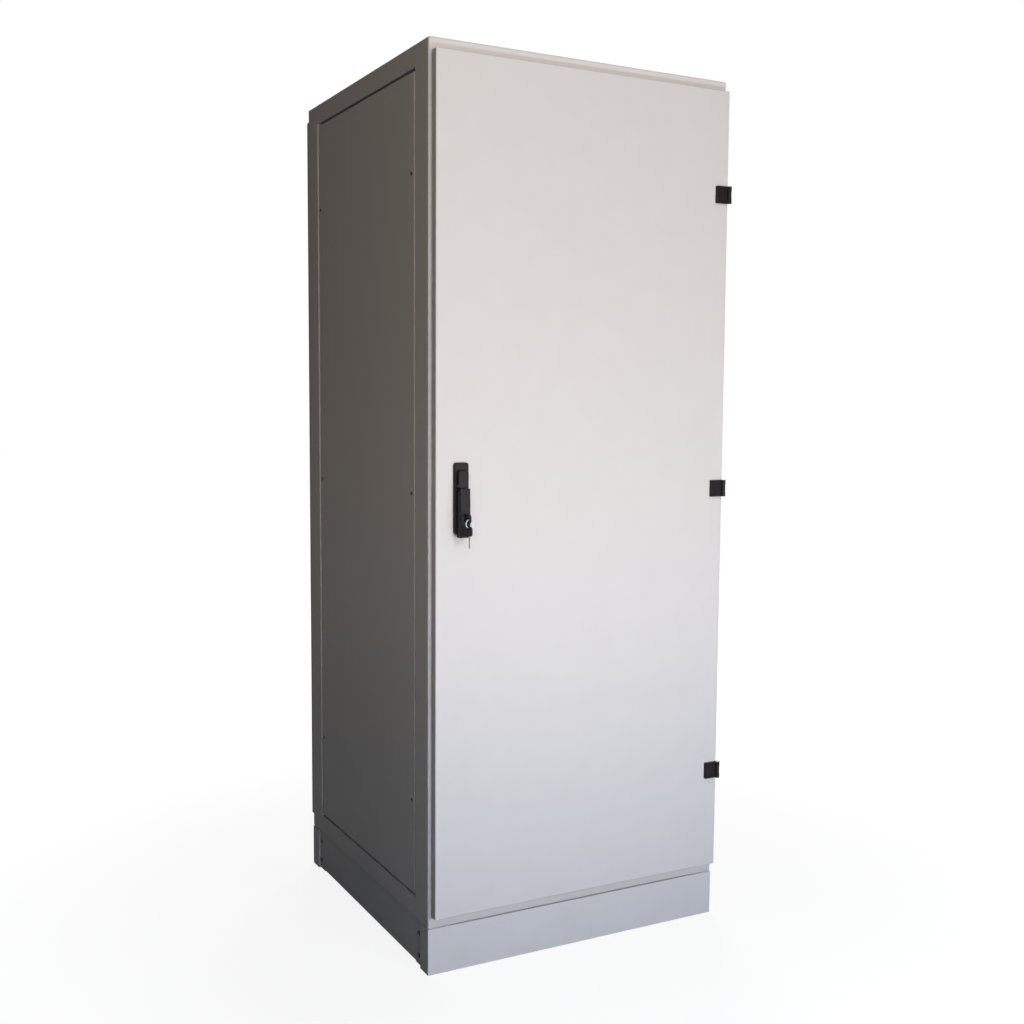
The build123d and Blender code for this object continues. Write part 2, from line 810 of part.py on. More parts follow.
with BuildPart() as door_panel:
    add(closing_tray(tray_width))
    with BuildSketch(facing(0, -skin_inside, 0)):
        with Locations((handle_x, pivot_z)):
            Circle(sleeve_radius + hole_clearance)
        with Locations((handle_x, handle_z)):
            with GridLocations(0, handle_screw_spacing, 1, 2):
                Circle(handle_screw_radius + hole_clearance)
        with Locations(*[(leaf_screw_x, height) for height in hinge_screw_heights]):
            Circle(hinge_screw_radius + hole_clearance)
    extrude(amount=panel_sheet, mode=Mode.SUBTRACT)
save(door_panel, "door_panel")

with BuildPart() as door_gasket:
    add(seal_strip(gasket_thickness - part_clearance))
save(door_gasket, "door_gasket")

# Door stiffeners: hat sections spot-welded to the skin, with a row of slots
stiffener_length = tray_height - 2 * (tray_lip + stiffener_end_gap)
stiffener_slots = int((stiffener_length - 2 * slot_end_margin) / stiffener_slot_spacing) + 1

for name, side in (("door_stiffener_left", -1), ("door_stiffener_right", 1)):
    centre_x = side * (half_width - stiffener_inset)
    with BuildPart() as stiffener:
        with BuildSketch(Plane.XY.offset(body_middle - stiffener_length / 2)):
            with BuildLine():
                Polyline(
                    (centre_x - stiffener_width / 2 - stiffener_foot, -skin_inside),
                    (centre_x - stiffener_width / 2, -skin_inside),
                    (centre_x - stiffener_width / 2, -skin_inside + stiffener_depth),
                    (centre_x + stiffener_width / 2, -skin_inside + stiffener_depth),
                    (centre_x + stiffener_width / 2, -skin_inside),
                    (centre_x + stiffener_width / 2 + stiffener_foot, -skin_inside),
                )
                offset(amount=panel_sheet, kind=Kind.INTERSECTION, side=Side.LEFT)
            make_face()
        extrude(amount=stiffener_length)
        with BuildSketch(facing(centre_x, -skin_inside + stiffener_depth + panel_sheet, body_middle)):
            with GridLocations(0, stiffener_slot_spacing, 1, stiffener_slots):
                Rectangle(slot_width, slot_height)
        extrude(amount=2 * panel_sheet, mode=Mode.SUBTRACT)
    save(stiffener, name)

# Hinges: a door leaf with two knuckles, a frame leaf with the middle one, and a pin through both
for name, height in zip(("upper", "middle", "lower"), fixing_heights):
    with BuildPart() as door_leaf:
        with BuildSketch(Plane.XY.offset(height)):
            with Locations(((leaf_left + hinge_axis_x) / 2, -tray_face - hinge_leaf_thickness / 2)):
                Rectangle(hinge_leaf_width, hinge_leaf_thickness)
        extrude(amount=hinge_height / 2, both=True)
        fillet(
            door_leaf.faces().sort_by(Axis.Y)[0].edges().filter_by(Axis.X), radius=hinge_edge_radius
        )
        fillet(
            door_leaf.edges().filter_by(Axis.Z).group_by(Axis.X)[0].sort_by(Axis.Y)[0],
            radius=hinge_edge_radius,
        )
        with BuildSketch(Plane.XY.offset(height)):
            with Locations((hinge_axis_x, hinge_axis_y)):
                Circle(hinge_knuckle_radius)
        extrude(amount=hinge_height / 2, both=True)
        with BuildSketch(Plane.XY.offset(height)):
            with Locations((hinge_axis_x, hinge_axis_y)):
                Circle(hinge_knuckle_radius + hinge_knuckle_gap)
        extrude(amount=hinge_middle_height / 2 + hinge_knuckle_gap, both=True, mode=Mode.SUBTRACT)
        with BuildSketch(Plane.XY.offset(height)):
            with Locations((hinge_axis_x, hinge_axis_y)):
                Circle(hinge_pin_radius + running_fit)
        extrude(amount=hinge_height, both=True, mode=Mode.SUBTRACT)
        with BuildSketch(facing(leaf_screw_x, -tray_face, height)):
            with GridLocations(0, hinge_screw_spacing, 1, 2):
                Circle(hinge_screw_radius + hole_clearance)
        extrude(amount=hinge_leaf_screw_depth + hole_clearance, mode=Mode.SUBTRACT)
    save(door_leaf, f"hinge_door_leaf_{name}")

    with BuildPart() as frame_leaf:
        with BuildSketch(Plane.XY.offset(height)):
            with Locations((hinge_axis_x, hinge_axis_y)):
                Circle(hinge_middle_radius)
            with BuildLine():
                Polyline(
                    (hinge_axis_x, hinge_axis_y - hinge_middle_radius),
                    (hinge_foot_right, hinge_axis_y),
                    (hinge_foot_right, -half_depth),
                    (hinge_web_inside, -half_depth),
                    (hinge_web_inside, hinge_axis_y),
                    (hinge_axis_x, hinge_axis_y),
                    close=True,
                )
            make_face()
        extrude(amount=hinge_middle_height / 2, both=True)
        with BuildSketch(Plane.XY.offset(height)):
            with Locations((hinge_foot_right - hinge_foot_width / 2, -half_depth - hinge_foot_thickness / 2)):
                Rectangle(hinge_foot_width, hinge_foot_thickness)
        extrude(amount=hinge_height / 2, both=True)
        with BuildSketch(Plane.XY.offset(height)):
            with Locations((hinge_axis_x, hinge_axis_y)):
                Circle(hinge_pin_radius + slip_fit)
        extrude(amount=hinge_height, both=True, mode=Mode.SUBTRACT)
        with BuildSketch(facing(hinge_screw_x, -half_depth, height)):
            with GridLocations(0, hinge_screw_spacing, 1, 2):
                Circle(hinge_screw_radius + hole_clearance)
        extrude(amount=hinge_foot_thickness, mode=Mode.SUBTRACT)
    save(frame_leaf, f"hinge_frame_leaf_{name}")

with BuildPart() as hinge_pins:
    with BuildSketch(*[Plane.XY.offset(height) for height in fixing_heights]):
        with Locations((hinge_axis_x, hinge_axis_y)):
            Circle(hinge_pin_radius)
    extrude(amount=hinge_height / 2, both=True)
save(hinge_pins, "hinge_pins")

group(
    hex_bolt(
        hinge_screw_radius,
        frame_sheet + hinge_foot_thickness,
        hinge_screw_head_radius,
        hinge_screw_head_height,
    ),
    [
        Plane(
            origin=(hinge_screw_x, -half_depth + frame_sheet, height), x_dir=(1, 0, 0), z_dir=(0, 1, 0)
        )
        for height in hinge_screw_heights
    ],
    "hinge_frame_screws",
)
group(
    hex_bolt(
        hinge_screw_radius,
        panel_sheet + hinge_leaf_screw_depth,
        hinge_screw_head_radius,
        hinge_screw_head_height,
    ),
    [
        Plane(origin=(leaf_screw_x, -skin_inside, height), x_dir=(1, 0, 0), z_dir=(0, 1, 0))
        for height in hinge_screw_heights
    ],
    "hinge_door_screws",
)

# Handle base: a moulded plate on the door's face with a sleeve for the spindle
base_face = -tray_face - handle_base_thickness

with BuildPart() as handle_base:
    with BuildSketch(facing(handle_x, -tray_face, handle_z)):
        RectangleRounded(handle_base_width, handle_base_height, handle_base_radius)
    extrude(amount=handle_base_thickness)
    fillet(handle_base.faces().sort_by(Axis.Y)[0].edges(), radius=handle_base_edge)
    with BuildSketch(facing(handle_x, -tray_face, pivot_z)):
        Circle(sleeve_radius)
    extrude(amount=-panel_sheet)
    with BuildSketch(facing(handle_x, -skin_inside, pivot_z)):
        Circle(spindle_radius + running_fit)
    extrude(amount=handle_base_thickness + panel_sheet, mode=Mode.SUBTRACT)
    with BuildSketch(facing(handle_x, -tray_face, handle_z)):
        with GridLocations(0, handle_screw_spacing, 1, 2):
            Circle(handle_screw_radius + hole_clearance)
    extrude(amount=handle_screw_depth + hole_clearance, mode=Mode.SUBTRACT)
save(handle_base, "handle_base")

group(
    hex_bolt(
        handle_screw_radius,
        panel_sheet + handle_screw_depth,
        handle_screw_head_radius,
        handle_screw_head_height,
    ),
    [
        Plane(
            origin=(handle_x, -skin_inside, handle_z + row * handle_screw_spacing / 2),
            x_dir=(1, 0, 0),
            z_dir=(0, 1, 0),
        )
        for row in (-1, 1)
    ],
    "handle_screws",
)

# Handle head: a hollow cap on the spindle, open below and behind for the lever's tongue
head_back = base_face - part_clearance
head_face = base_face - head_thickness
head_bottom = pivot_z - head_height / 2
pin_z = head_bottom + lever_pin_rise
pin_y = base_face - lever_gap - tongue_radius
cavity_width = tongue_width + 2 * tongue_side_gap

with BuildPart() as handle_head:
    with BuildSketch(facing(handle_x, head_back, pivot_z)) as head_outline:
        Rectangle(head_width, head_height)
        fillet(head_outline.vertices().group_by(Axis.Y)[-1], radius=head_corner_radius)
    extrude(amount=head_back - head_face)
    fillet(handle_head.faces().sort_by(Axis.Y)[0].edges(), radius=lever_edge)
    with BuildSketch(facing(handle_x, head_back, head_bottom)):
        Rectangle(
            cavity_width,
            lever_pin_rise + tongue_radius + 2 * part_clearance,
            align=(Align.CENTER, Align.MIN),
        )
    extrude(amount=head_back - head_face - head_wall, mode=Mode.SUBTRACT)
    with BuildSketch(facing(handle_x, head_back, pivot_z)):
        Circle(spindle_radius + slip_fit)
    extrude(amount=spindle_socket, mode=Mode.SUBTRACT)
    with BuildSketch(Plane.YZ.offset(handle_x)):
        with Locations((pin_y, pin_z)):
            Circle(lever_pin_radius + slip_fit)
    extrude(amount=head_width, both=True, mode=Mode.SUBTRACT)
save(handle_head, "handle_head")

with BuildPart() as lever_pin:
    with BuildSketch(Plane.YZ.offset(handle_x)):
        with Locations((pin_y, pin_z)):
            Circle(lever_pin_radius)
    extrude(amount=head_width / 2, both=True)
save(lever_pin, "lever_pin")

# Spindle with its pinion: involute flanks drawn as arcs through three points of the curve
base_radius = pinion_pitch_radius * cos(radians(pressure_angle))
tip_radius = pinion_pitch_radius + addendum
root_radius = pinion_pitch_radius - dedendum
pinion_back = rod_middle_y + pinion_width / 2
gearbox_back = pinion_back + part_clearance


def involute(angle):
    """How far an involute has turned where its pressure angle is this, in radians."""
    return tan(angle) - angle


def flank_point(radius, hand):
    """A point of a tooth's flank at a radius; hand is 1 above the tooth's middle line and -1 below."""
    at_radius = acos(min(1, base_radius / radius))
    half_tooth = pi / (2 * pinion_teeth) + involute(radians(pressure_angle)) - involute(at_radius)
    return (radius * cos(half_tooth), hand * radius * sin(half_tooth))


middle_radius = (base_radius + tip_radius) / 2
with BuildSketch() as pinion_tooth:
    with BuildLine():
        ThreePointArc(*[flank_point(r, -1) for r in (base_radius, middle_radius, tip_radius)])
        Line(flank_point(tip_radius, -1), flank_point(tip_radius, 1))
        ThreePointArc(*[flank_point(r, 1) for r in (tip_radius, middle_radius, base_radius)])
        Polyline(flank_point(base_radius, 1), (0, 0), flank_point(base_radius, -1))
    make_face()

with BuildPart() as spindle:
    with BuildSketch(facing(handle_x, pinion_back, pivot_z)):
        Circle(root_radius)
        with PolarLocations(0, pinion_teeth):
            add(pinion_tooth.sketch)
    extrude(amount=pinion_width)
    with BuildSketch(facing(handle_x, gearbox_back + gearbox_cover_thickness, pivot_z)):
        Circle(spindle_radius)
    extrude(amount=gearbox_back + gearbox_cover_thickness - head_back + spindle_socket)
save(spindle, "spindle")

# Lock rods: flat bars whose inner ends are racks, one on each side of the pinion
rack_pitch = pi * gear_module
rack_slope = tan(radians(pressure_angle))
gap_half = rack_pitch / 4 + gear_backlash / 2

with BuildSketch() as rack_gap:
    with BuildLine():
        Polyline(
            (pinion_pitch_radius - addendum, gap_half + addendum * rack_slope),
            (pinion_pitch_radius + dedendum, gap_half - dedendum * rack_slope),
            (pinion_pitch_radius + dedendum, -gap_half + dedendum * rack_slope),
            (pinion_pitch_radius - addendum, -gap_half - addendum * rack_slope),
            close=True,
        )
    make_face()

rod_back = rod_front + rod_thickness
rod_length = opening_top - rod_end_gap - pivot_z + rack_overlap
lower_rod_length = pivot_z + rack_overlap - opening_bottom - rod_end_gap
rods = (("upper_rod", -1, rod_length), ("lower_rod", 1, lower_rod_length))

for name, hand, length in rods:
    rod_x = hand * rod_offset
    outer_end = hand * (rack_overlap - length)
    with BuildPart() as rod:
        with BuildSketch(facing(handle_x, rod_back, pivot_z)) as rod_face:
            with Locations((rod_x, outer_end + hand * length / 2)):
                Rectangle(rod_width, length)
            tip = rod_face.vertices().group_by(Axis.Y)[0 if hand > 0 else -1]
            chamfer(tip, length=rod_tip_chamfer)
            with Locations(
                *[
                    Location((0, -hand * step * rack_pitch), 0 if hand > 0 else 180)
                    for step in range(-rack_teeth_below, rack_teeth_above + 1)
                ]
            ):
                add(rack_gap.sketch, mode=Mode.SUBTRACT)
        extrude(amount=rod_thickness)
    save(rod, name)

# Gearbox: a housing on the inside of the skin with a pinion pocket and two rod channels, and its cover
gearbox_half_width = rod_offset + rod_width / 2 + part_clearance + gearbox_wall
channel_front = rod_front - part_clearance
pocket_radius = tip_radius + 2 * part_clearance

with BuildPart() as gearbox:
    with BuildSketch(facing(handle_x, gearbox_back, pivot_z)):
        RectangleRounded(2 * gearbox_half_width, 2 * gearbox_half_height, gearbox_edge)
    extrude(amount=gearbox_back + skin_inside)
    with BuildSketch(facing(handle_x, gearbox_back, pivot_z)):
        Circle(pocket_radius)
    extrude(amount=pinion_width + 2 * part_clearance, mode=Mode.SUBTRACT)
    with BuildSketch(facing(handle_x, gearbox_back, pivot_z)):
        with GridLocations(2 * rod_offset, 0, 2, 1):
            Rectangle(rod_width + 2 * part_clearance, 2 * gearbox_half_height)
    extrude(amount=gearbox_back - channel_front, mode=Mode.SUBTRACT)
    with BuildSketch(facing(handle_x, gearbox_back, pivot_z)):
        Circle(spindle_radius + running_fit)
    extrude(amount=gearbox_back + skin_inside, mode=Mode.SUBTRACT)
    with BuildSketch(facing(handle_x, -skin_inside, handle_z + handle_screw_spacing / 2)):
        Circle(handle_screw_head_radius + part_clearance)
    extrude(amount=-handle_screw_head_height - part_clearance, mode=Mode.SUBTRACT)
save(gearbox, "gearbox")

with BuildPart() as gearbox_cover:
    with BuildSketch(facing(handle_x, gearbox_back + gearbox_cover_thickness, pivot_z)):
        RectangleRounded(2 * gearbox_half_width, 2 * gearbox_half_height, gearbox_edge)
        Circle(spindle_radius + running_fit, mode=Mode.SUBTRACT)
    extrude(amount=gearbox_cover_thickness)
save(gearbox_cover, "gearbox_cover")

# Rod guides: moulded blocks on the skin that carry the outer ends of the rods
guides = (
    ("rod_guide_upper", upper_rod_x, opening_top - guide_inset),
    ("rod_guide_lower", lower_rod_x, opening_bottom + guide_inset),
)
guide_back = rod_back + part_clearance + guide_wall
guide_half = rod_width / 2 + part_clearance + guide_wall

for name, guide_x, guide_z in guides:
    with BuildPart() as guide:
        with BuildSketch(Plane.XY.offset(guide_z)):
            with BuildLine():
                Polyline(
                    (guide_x - guide_half - guide_wall, -skin_inside),
                    (guide_x + guide_half + guide_wall, -skin_inside),
                    (guide_x + guide_half, -skin_inside + guide_wall),
                    (guide_x + guide_half, guide_back),
                    (guide_x - guide_half, guide_back),
                    (guide_x - guide_half, -skin_inside + guide_wall),
                    close=True,
                )
            make_face()
            with Locations((guide_x, rod_middle_y)):
                Rectangle(
                    rod_width + 2 * part_clearance,
                    rod_thickness + 2 * part_clearance,
                    mode=Mode.SUBTRACT,
                )
        extrude(amount=guide_height / 2, both=True)
    save(guide, name)

# Lever: a hollow grip that hangs in front of the base, with a tongue that hinges inside the head
lever_back = base_face - lever_gap - lever_gap
lever_top = head_bottom - lever_gap
lever_end = lever_top - lever_length
lever_crown = base_face - lever_top_stand
lever_face = base_face - lever_grip_stand
lever_toe = base_face - lever_end_stand
lip_back = lever_crown + lever_wall
shoulder_z = lever_top - lever_lip
cavity_top = shoulder_z - lever_root_height
tongue_back = base_face - lever_gap
lock_z = lever_top - lock_drop

with BuildPart() as lever:
    with BuildSketch(Plane.YZ.offset(handle_x)):
        with BuildLine():
            Polyline(
                (lever_back, shoulder_z),
                (lip_back, shoulder_z),
                (lip_back, lever_top),
                (lever_crown, lever_top),
                (lever_face, lever_top - lever_shoulder_drop),
                (lever_face, lever_top - lever_pad_drop),
                (lever_toe - lever_end_chamfer, lever_end + lever_end_chamfer),
                (lever_toe, lever_end),
                (lever_back, lever_end),
                close=True,
            )
        make_face()
    extrude(amount=head_width / 2, both=True)
    front_edges = lever.edges().filter_by(Axis.X, reverse=True).group_by(Axis.X)
    grip_edges = [edge for end in (0, -1) for edge in front_edges[end] if edge.center().Y < lip_back]
    fillet([edge for edge in grip_edges if edge.length > lever_lip], radius=lever_edge)
    with BuildSketch(Plane.YZ.offset(handle_x)):
        with BuildLine():
            Polyline(
                (lever_back, cavity_top),
                (lever_face + lever_wall, cavity_top),
                (lever_face + lever_wall, lever_top - lever_pad_drop),
                (lever_toe + lever_wall, lever_end + lever_wall),
                (lever_back, lever_end + lever_wall),
                close=True,
            )
        make_face()
    extrude(amount=head_width / 2 - lever_wall, both=True, mode=Mode.SUBTRACT)
    with BuildSketch(Plane.YZ.offset(handle_x)):
        with Locations((pin_y, pin_z)):
            Circle(tongue_radius)
        with BuildLine():
            Polyline(
                (tongue_back, pin_z),
                (tongue_back - tongue_thickness, pin_z),
                (tongue_back - tongue_thickness, cavity_top),
                (tongue_back, cavity_top),
                close=True,
            )
        make_face()
    extrude(amount=tongue_width / 2, both=True)
    with BuildSketch(Plane.YZ.offset(handle_x)):
        with Locations((pin_y, pin_z)):
            Circle(lever_pin_radius + running_fit)
    extrude(amount=tongue_width, both=True, mode=Mode.SUBTRACT)
    with BuildSketch(facing(handle_x, lever_back, lock_z)):
        Circle(lock_radius + slip_fit)
    extrude(amount=lever_grip_stand, mode=Mode.SUBTRACT)
save(lever, "lever")

# Lock cylinder in the lever: a fixed body with a collar, and a plug that turns with the key
plug_back = lever_face + lock_length
plug_front = lever_face - lock_collar_height - plug_stand

with BuildPart() as lock_body:
    with BuildSketch(facing(handle_x, plug_back, lock_z)):
        Circle(lock_radius)
    extrude(amount=lock_length)
    with BuildSketch(facing(handle_x, lever_face, lock_z)):
        Circle(lock_collar_radius)
    extrude(amount=lock_collar_height)
    with BuildSketch(facing(handle_x, plug_back, lock_z)):
        Circle(plug_radius + running_fit)
    extrude(amount=lock_length + lock_collar_height, mode=Mode.SUBTRACT)
save(lock_body, "lock_body")

with BuildPart() as lock_plug:
    with BuildSketch(facing(handle_x, plug_back, lock_z)):
        Circle(plug_radius)
        Rectangle(keyway_width, keyway_height, mode=Mode.SUBTRACT)
    extrude(amount=plug_back - plug_front)
save(lock_plug, "lock_plug")

# Key in the lock, the split ring through its bow, and the spare key that hangs from the ring
bow_back = plug_front - part_clearance
bow_middle_y = bow_back - key_bow_length / 2
hole_y = bow_back - key_bow_length + key_hole_inset
ring_reach = hypot(ring_section, ring_section) / 2
ring_top_z = lock_z - key_hole_radius + ring_reach + part_clearance
ring_bottom_z = ring_top_z - 2 * ring_radius
spare_hole_z = ring_bottom_z - key_hole_radius + ring_reach + part_clearance
spare_bow_top = spare_hole_z + key_hole_inset
spare_bow_z = spare_bow_top - key_bow_length / 2
spare_blade_z = spare_bow_top - key_bow_length


def key_bow_part(y, z, width, height, hole_y, hole_z, label):
    """The moulded grip of a key in an upright plane, with a hole for the ring."""
    with BuildPart() as bow:
        with BuildSketch(Plane.YZ.offset(handle_x)):
            with Locations((y, z)):
                RectangleRounded(width, height, key_bow_radius)
            with Locations((hole_y, hole_z)):
                Circle(key_hole_radius, mode=Mode.SUBTRACT)
        extrude(amount=key_bow_thickness / 2, both=True)
    save(bow, label)


key_bow_part(bow_middle_y, lock_z, key_bow_length, key_bow_height, hole_y, lock_z, "key_bow")
key_bow_part(
    hole_y, spare_bow_z, key_bow_height, key_bow_length, hole_y, spare_hole_z, "spare_key_bow"
)

with BuildPart() as key_blade:
    with BuildSketch(Plane.YZ.offset(handle_x)):
        with Locations((bow_back, lock_z)):
            Rectangle(key_blade_in_lock, key_blade_height, align=(Align.MIN, Align.CENTER))
    extrude(amount=key_blade_width / 2, both=True)
save(key_blade, "key_blade")

with BuildPart() as spare_key_blade:
    with BuildSketch(Plane.YZ.offset(handle_x)) as blade_face:
        with Locations((hole_y, spare_blade_z)):
            Rectangle(key_blade_height, key_blade_length, align=(Align.CENTER, Align.MAX))
        chamfer(blade_face.vertices().group_by(Axis.Y)[0], length=key_blade_tip)
    extrude(amount=key_blade_width / 2, both=True)
save(spare_key_blade, "spare_key_blade")

with BuildPart() as key_ring:
    with BuildSketch(facing(handle_x, hole_y, ring_top_z - ring_radius)):
        Circle(ring_radius + ring_section / 2)
        Circle(ring_radius - ring_section / 2, mode=Mode.SUBTRACT)
    extrude(amount=ring_section / 2, both=True)
save(key_ring, "key_ring")
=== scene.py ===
# %% [markdown]
# # A tall utility cabinet in a plain studio
# The cabinet's frame, panels, door, hinges, handle and lock come from CAD as separate nodes. This script
# loads them, gives every node a finish made of shader nodes, makes the few pieces that are too fine for
# CAD, and sets up the floor, the lamps and the camera. Lengths are metres, +Z is up, the door faces -Y.

# %% Load the CAD frame
import json
import math

import bmesh
import bpy
from mathutils import Matrix, Vector


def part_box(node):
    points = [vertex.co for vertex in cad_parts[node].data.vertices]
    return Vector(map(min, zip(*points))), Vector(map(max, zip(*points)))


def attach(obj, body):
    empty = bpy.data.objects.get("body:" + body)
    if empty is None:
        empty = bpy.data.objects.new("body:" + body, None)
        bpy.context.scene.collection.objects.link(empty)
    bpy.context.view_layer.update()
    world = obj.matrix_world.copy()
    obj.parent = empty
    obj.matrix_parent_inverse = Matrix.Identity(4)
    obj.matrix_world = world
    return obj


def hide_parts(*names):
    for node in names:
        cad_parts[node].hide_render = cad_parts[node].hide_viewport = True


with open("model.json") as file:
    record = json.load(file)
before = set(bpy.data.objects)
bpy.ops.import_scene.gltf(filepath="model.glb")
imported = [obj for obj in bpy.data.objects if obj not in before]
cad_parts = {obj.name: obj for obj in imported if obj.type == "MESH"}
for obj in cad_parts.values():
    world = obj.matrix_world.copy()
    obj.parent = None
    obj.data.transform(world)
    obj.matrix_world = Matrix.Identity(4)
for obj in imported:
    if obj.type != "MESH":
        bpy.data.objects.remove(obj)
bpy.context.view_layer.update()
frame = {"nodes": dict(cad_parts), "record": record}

nodes = frame["nodes"]

# %% [markdown]
# ## Helpers for finishes
# A finish is a node tree that ends in one Principled BSDF. Most trees here need the same few moves: start a
# material, mix two colours by a mask, spread a mask over a range of roughness, and turn a height into a
# bump. Writing those moves once keeps every finish short enough to read at a glance.

# %% Helpers for finishes
def start_finish(name):
    """A new material with its tree and its Principled BSDF."""
    material = bpy.data.materials.new(name)
    material.use_nodes = True
    return material, material.node_tree, material.node_tree.nodes["Principled BSDF"]


def mixed_colour(tree, mask, low, high):
    """A colour that runs from low to high with a mask; high may be a colour or another node's socket."""
    mix = tree.nodes.new("ShaderNodeMix")
    mix.data_type = "RGBA"
    tree.links.new(mask, mix.inputs["Factor"])
    for socket, value in ((mix.inputs["A"], low), (mix.inputs["B"], high)):
        if isinstance(value, bpy.types.NodeSocket):
            tree.links.new(value, socket)
        else:
            socket.default_value = (*value, 1)
    return mix.outputs["Result"]


def spread_value(tree, mask, low, high):
    """A number that runs from low to high as a mask runs from 0 to 1."""
    span = tree.nodes.new("ShaderNodeMapRange")
    tree.links.new(mask, span.inputs["Value"])
    span.inputs["To Min"].default_value = low
    span.inputs["To Max"].default_value = high
    return span.outputs["Result"]


def raise_bump(tree, bsdf, height, strength, distance):
    """Feeds a height through a Bump node into the shader's normal."""
    bump = tree.nodes.new("ShaderNodeBump")
    bump.inputs["Strength"].default_value = strength
    bump.inputs["Distance"].default_value = distance
    tree.links.new(height, bump.inputs["Height"])
    tree.links.new(bump.outputs["Normal"], bsdf.inputs["Normal"])


def place_group(tree, group, **values):
    """Places a shared node group in a material with that material's own values."""
    node = tree.nodes.new("ShaderNodeGroup")
    node.node_tree = group
    for label, value in values.items():
        node.inputs[label].default_value = value
    return node


print("helpers ready")

# %% [markdown]
# ## Shared effects as node groups
# Powder coat, black coating and mouldings all have a fine grain with a slower mottle under it. Dust settles
# on what faces up and on what stands near the floor. Paint and plating rub thin on edges.
# Each effect is one group with named inputs, so a finish only says how coarse or how strong it is here.

# %% Start a node group
def start_group(name, inputs, outputs):
    """An empty shader group with float sockets, and its input and output nodes."""
    group = bpy.data.node_groups.new(name, "ShaderNodeTree")
    for label, value in inputs:
        group.interface.new_socket(label, in_out="INPUT", socket_type="NodeSocketFloat").default_value = value
    for label in outputs:
        group.interface.new_socket(label, in_out="OUTPUT", socket_type="NodeSocketFloat")
    return group, group.nodes.new("NodeGroupInput"), group.nodes.new("NodeGroupOutput")


def group_math(group, operation, first, second):
    """A Math node inside a group; each side is a socket or a number."""
    node = group.nodes.new("ShaderNodeMath")
    node.operation = operation
    node.use_clamp = operation in ("MULTIPLY", "MAXIMUM")
    for socket, value in zip(node.inputs, (first, second)):
        if isinstance(value, bpy.types.NodeSocket):
            group.links.new(value, socket)
        else:
            socket.default_value = value
    return node.outputs["Value"]


print("group helpers ready")

# %% Grain and mottle
coat_grain, grain_in, grain_out = start_group(
    "coat grain", (("Grain Scale", 700), ("Mottle Scale", 18)), ("Height", "Mottle")
)
grain_place = coat_grain.nodes.new("ShaderNodeTexCoord").outputs["Object"]
for label, scale_label, detail in (("Height", "Grain Scale", 2), ("Mottle", "Mottle Scale", 5)):
    noise = coat_grain.nodes.new("ShaderNodeTexNoise")
    noise.inputs["Detail"].default_value = detail
    coat_grain.links.new(grain_place, noise.inputs["Vector"])
    coat_grain.links.new(grain_in.outputs[scale_label], noise.inputs["Scale"])
    coat_grain.links.new(noise.outputs["Fac"], grain_out.inputs[label])
print("made group", coat_grain.name)

# %% Settled dust
settled_dust, dust_in, dust_out = start_group("settled dust", (("Amount", 0.3), ("Reach", 0.25)), ("Mask",))
dust_geometry = settled_dust.nodes.new("ShaderNodeNewGeometry")
dust_place = settled_dust.nodes.new("ShaderNodeSeparateXYZ")
dust_facing = settled_dust.nodes.new("ShaderNodeSeparateXYZ")
settled_dust.links.new(dust_geometry.outputs["Position"], dust_place.inputs[0])
settled_dust.links.new(dust_geometry.outputs["Normal"], dust_facing.inputs[0])
near_floor = settled_dust.nodes.new("ShaderNodeMapRange")
near_floor.inputs["To Min"].default_value = 1
near_floor.inputs["To Max"].default_value = 0
settled_dust.links.new(dust_place.outputs["Z"], near_floor.inputs["Value"])
settled_dust.links.new(dust_in.outputs["Reach"], near_floor.inputs["From Max"])
drift = settled_dust.nodes.new("ShaderNodeTexNoise")
drift.inputs["Scale"].default_value = 9
drift.inputs["Detail"].default_value = 6
settled_dust.links.new(dust_geometry.outputs["Position"], drift.inputs["Vector"])
where = group_math(settled_dust, "MAXIMUM", near_floor.outputs["Result"], dust_facing.outputs["Z"])
patchy = group_math(settled_dust, "MULTIPLY", where, drift.outputs["Fac"])
settled = group_math(settled_dust, "MULTIPLY", patchy, dust_in.outputs["Amount"])
settled_dust.links.new(settled, dust_out.inputs["Mask"])
print("made group", settled_dust.name)

# %% Rubbed edges
rubbed_edges, rub_in, rub_out = start_group("rubbed edges", (("Width", 0.0012), ("Amount", 1)), ("Mask",))
rounded = rubbed_edges.nodes.new("ShaderNodeBevel")
rubbed_edges.links.new(rub_in.outputs["Width"], rounded.inputs["Radius"])
true_normal = rubbed_edges.nodes.new("ShaderNodeNewGeometry").outputs["Normal"]
agreement = rubbed_edges.nodes.new("ShaderNodeVectorMath")
agreement.operation = "DOT_PRODUCT"
rubbed_edges.links.new(rounded.outputs["Normal"], agreement.inputs[0])
rubbed_edges.links.new(true_normal, agreement.inputs[1])
flat_agreement, edge_agreement = 0.995, 0.80
on_edge = rubbed_edges.nodes.new("ShaderNodeMapRange")
on_edge.inputs["From Min"].default_value = flat_agreement
on_edge.inputs["From Max"].default_value = edge_agreement
rubbed_edges.links.new(agreement.outputs["Value"], on_edge.inputs["Value"])
rub_spots = rubbed_edges.nodes.new("ShaderNodeTexNoise")
rub_spots.inputs["Scale"].default_value = 60
rub_spots.inputs["Detail"].default_value = 4
rub_place = rubbed_edges.nodes.new("ShaderNodeTexCoord").outputs["Object"]
rubbed_edges.links.new(rub_place, rub_spots.inputs["Vector"])
spotty = group_math(rubbed_edges, "MULTIPLY", on_edge.outputs["Result"], rub_spots.outputs["Fac"])
rubbed = group_math(rubbed_edges, "MULTIPLY", spotty, rub_in.outputs["Amount"])
rubbed_edges.links.new(rubbed, rub_out.inputs["Mask"])
print("made group", rubbed_edges.name)

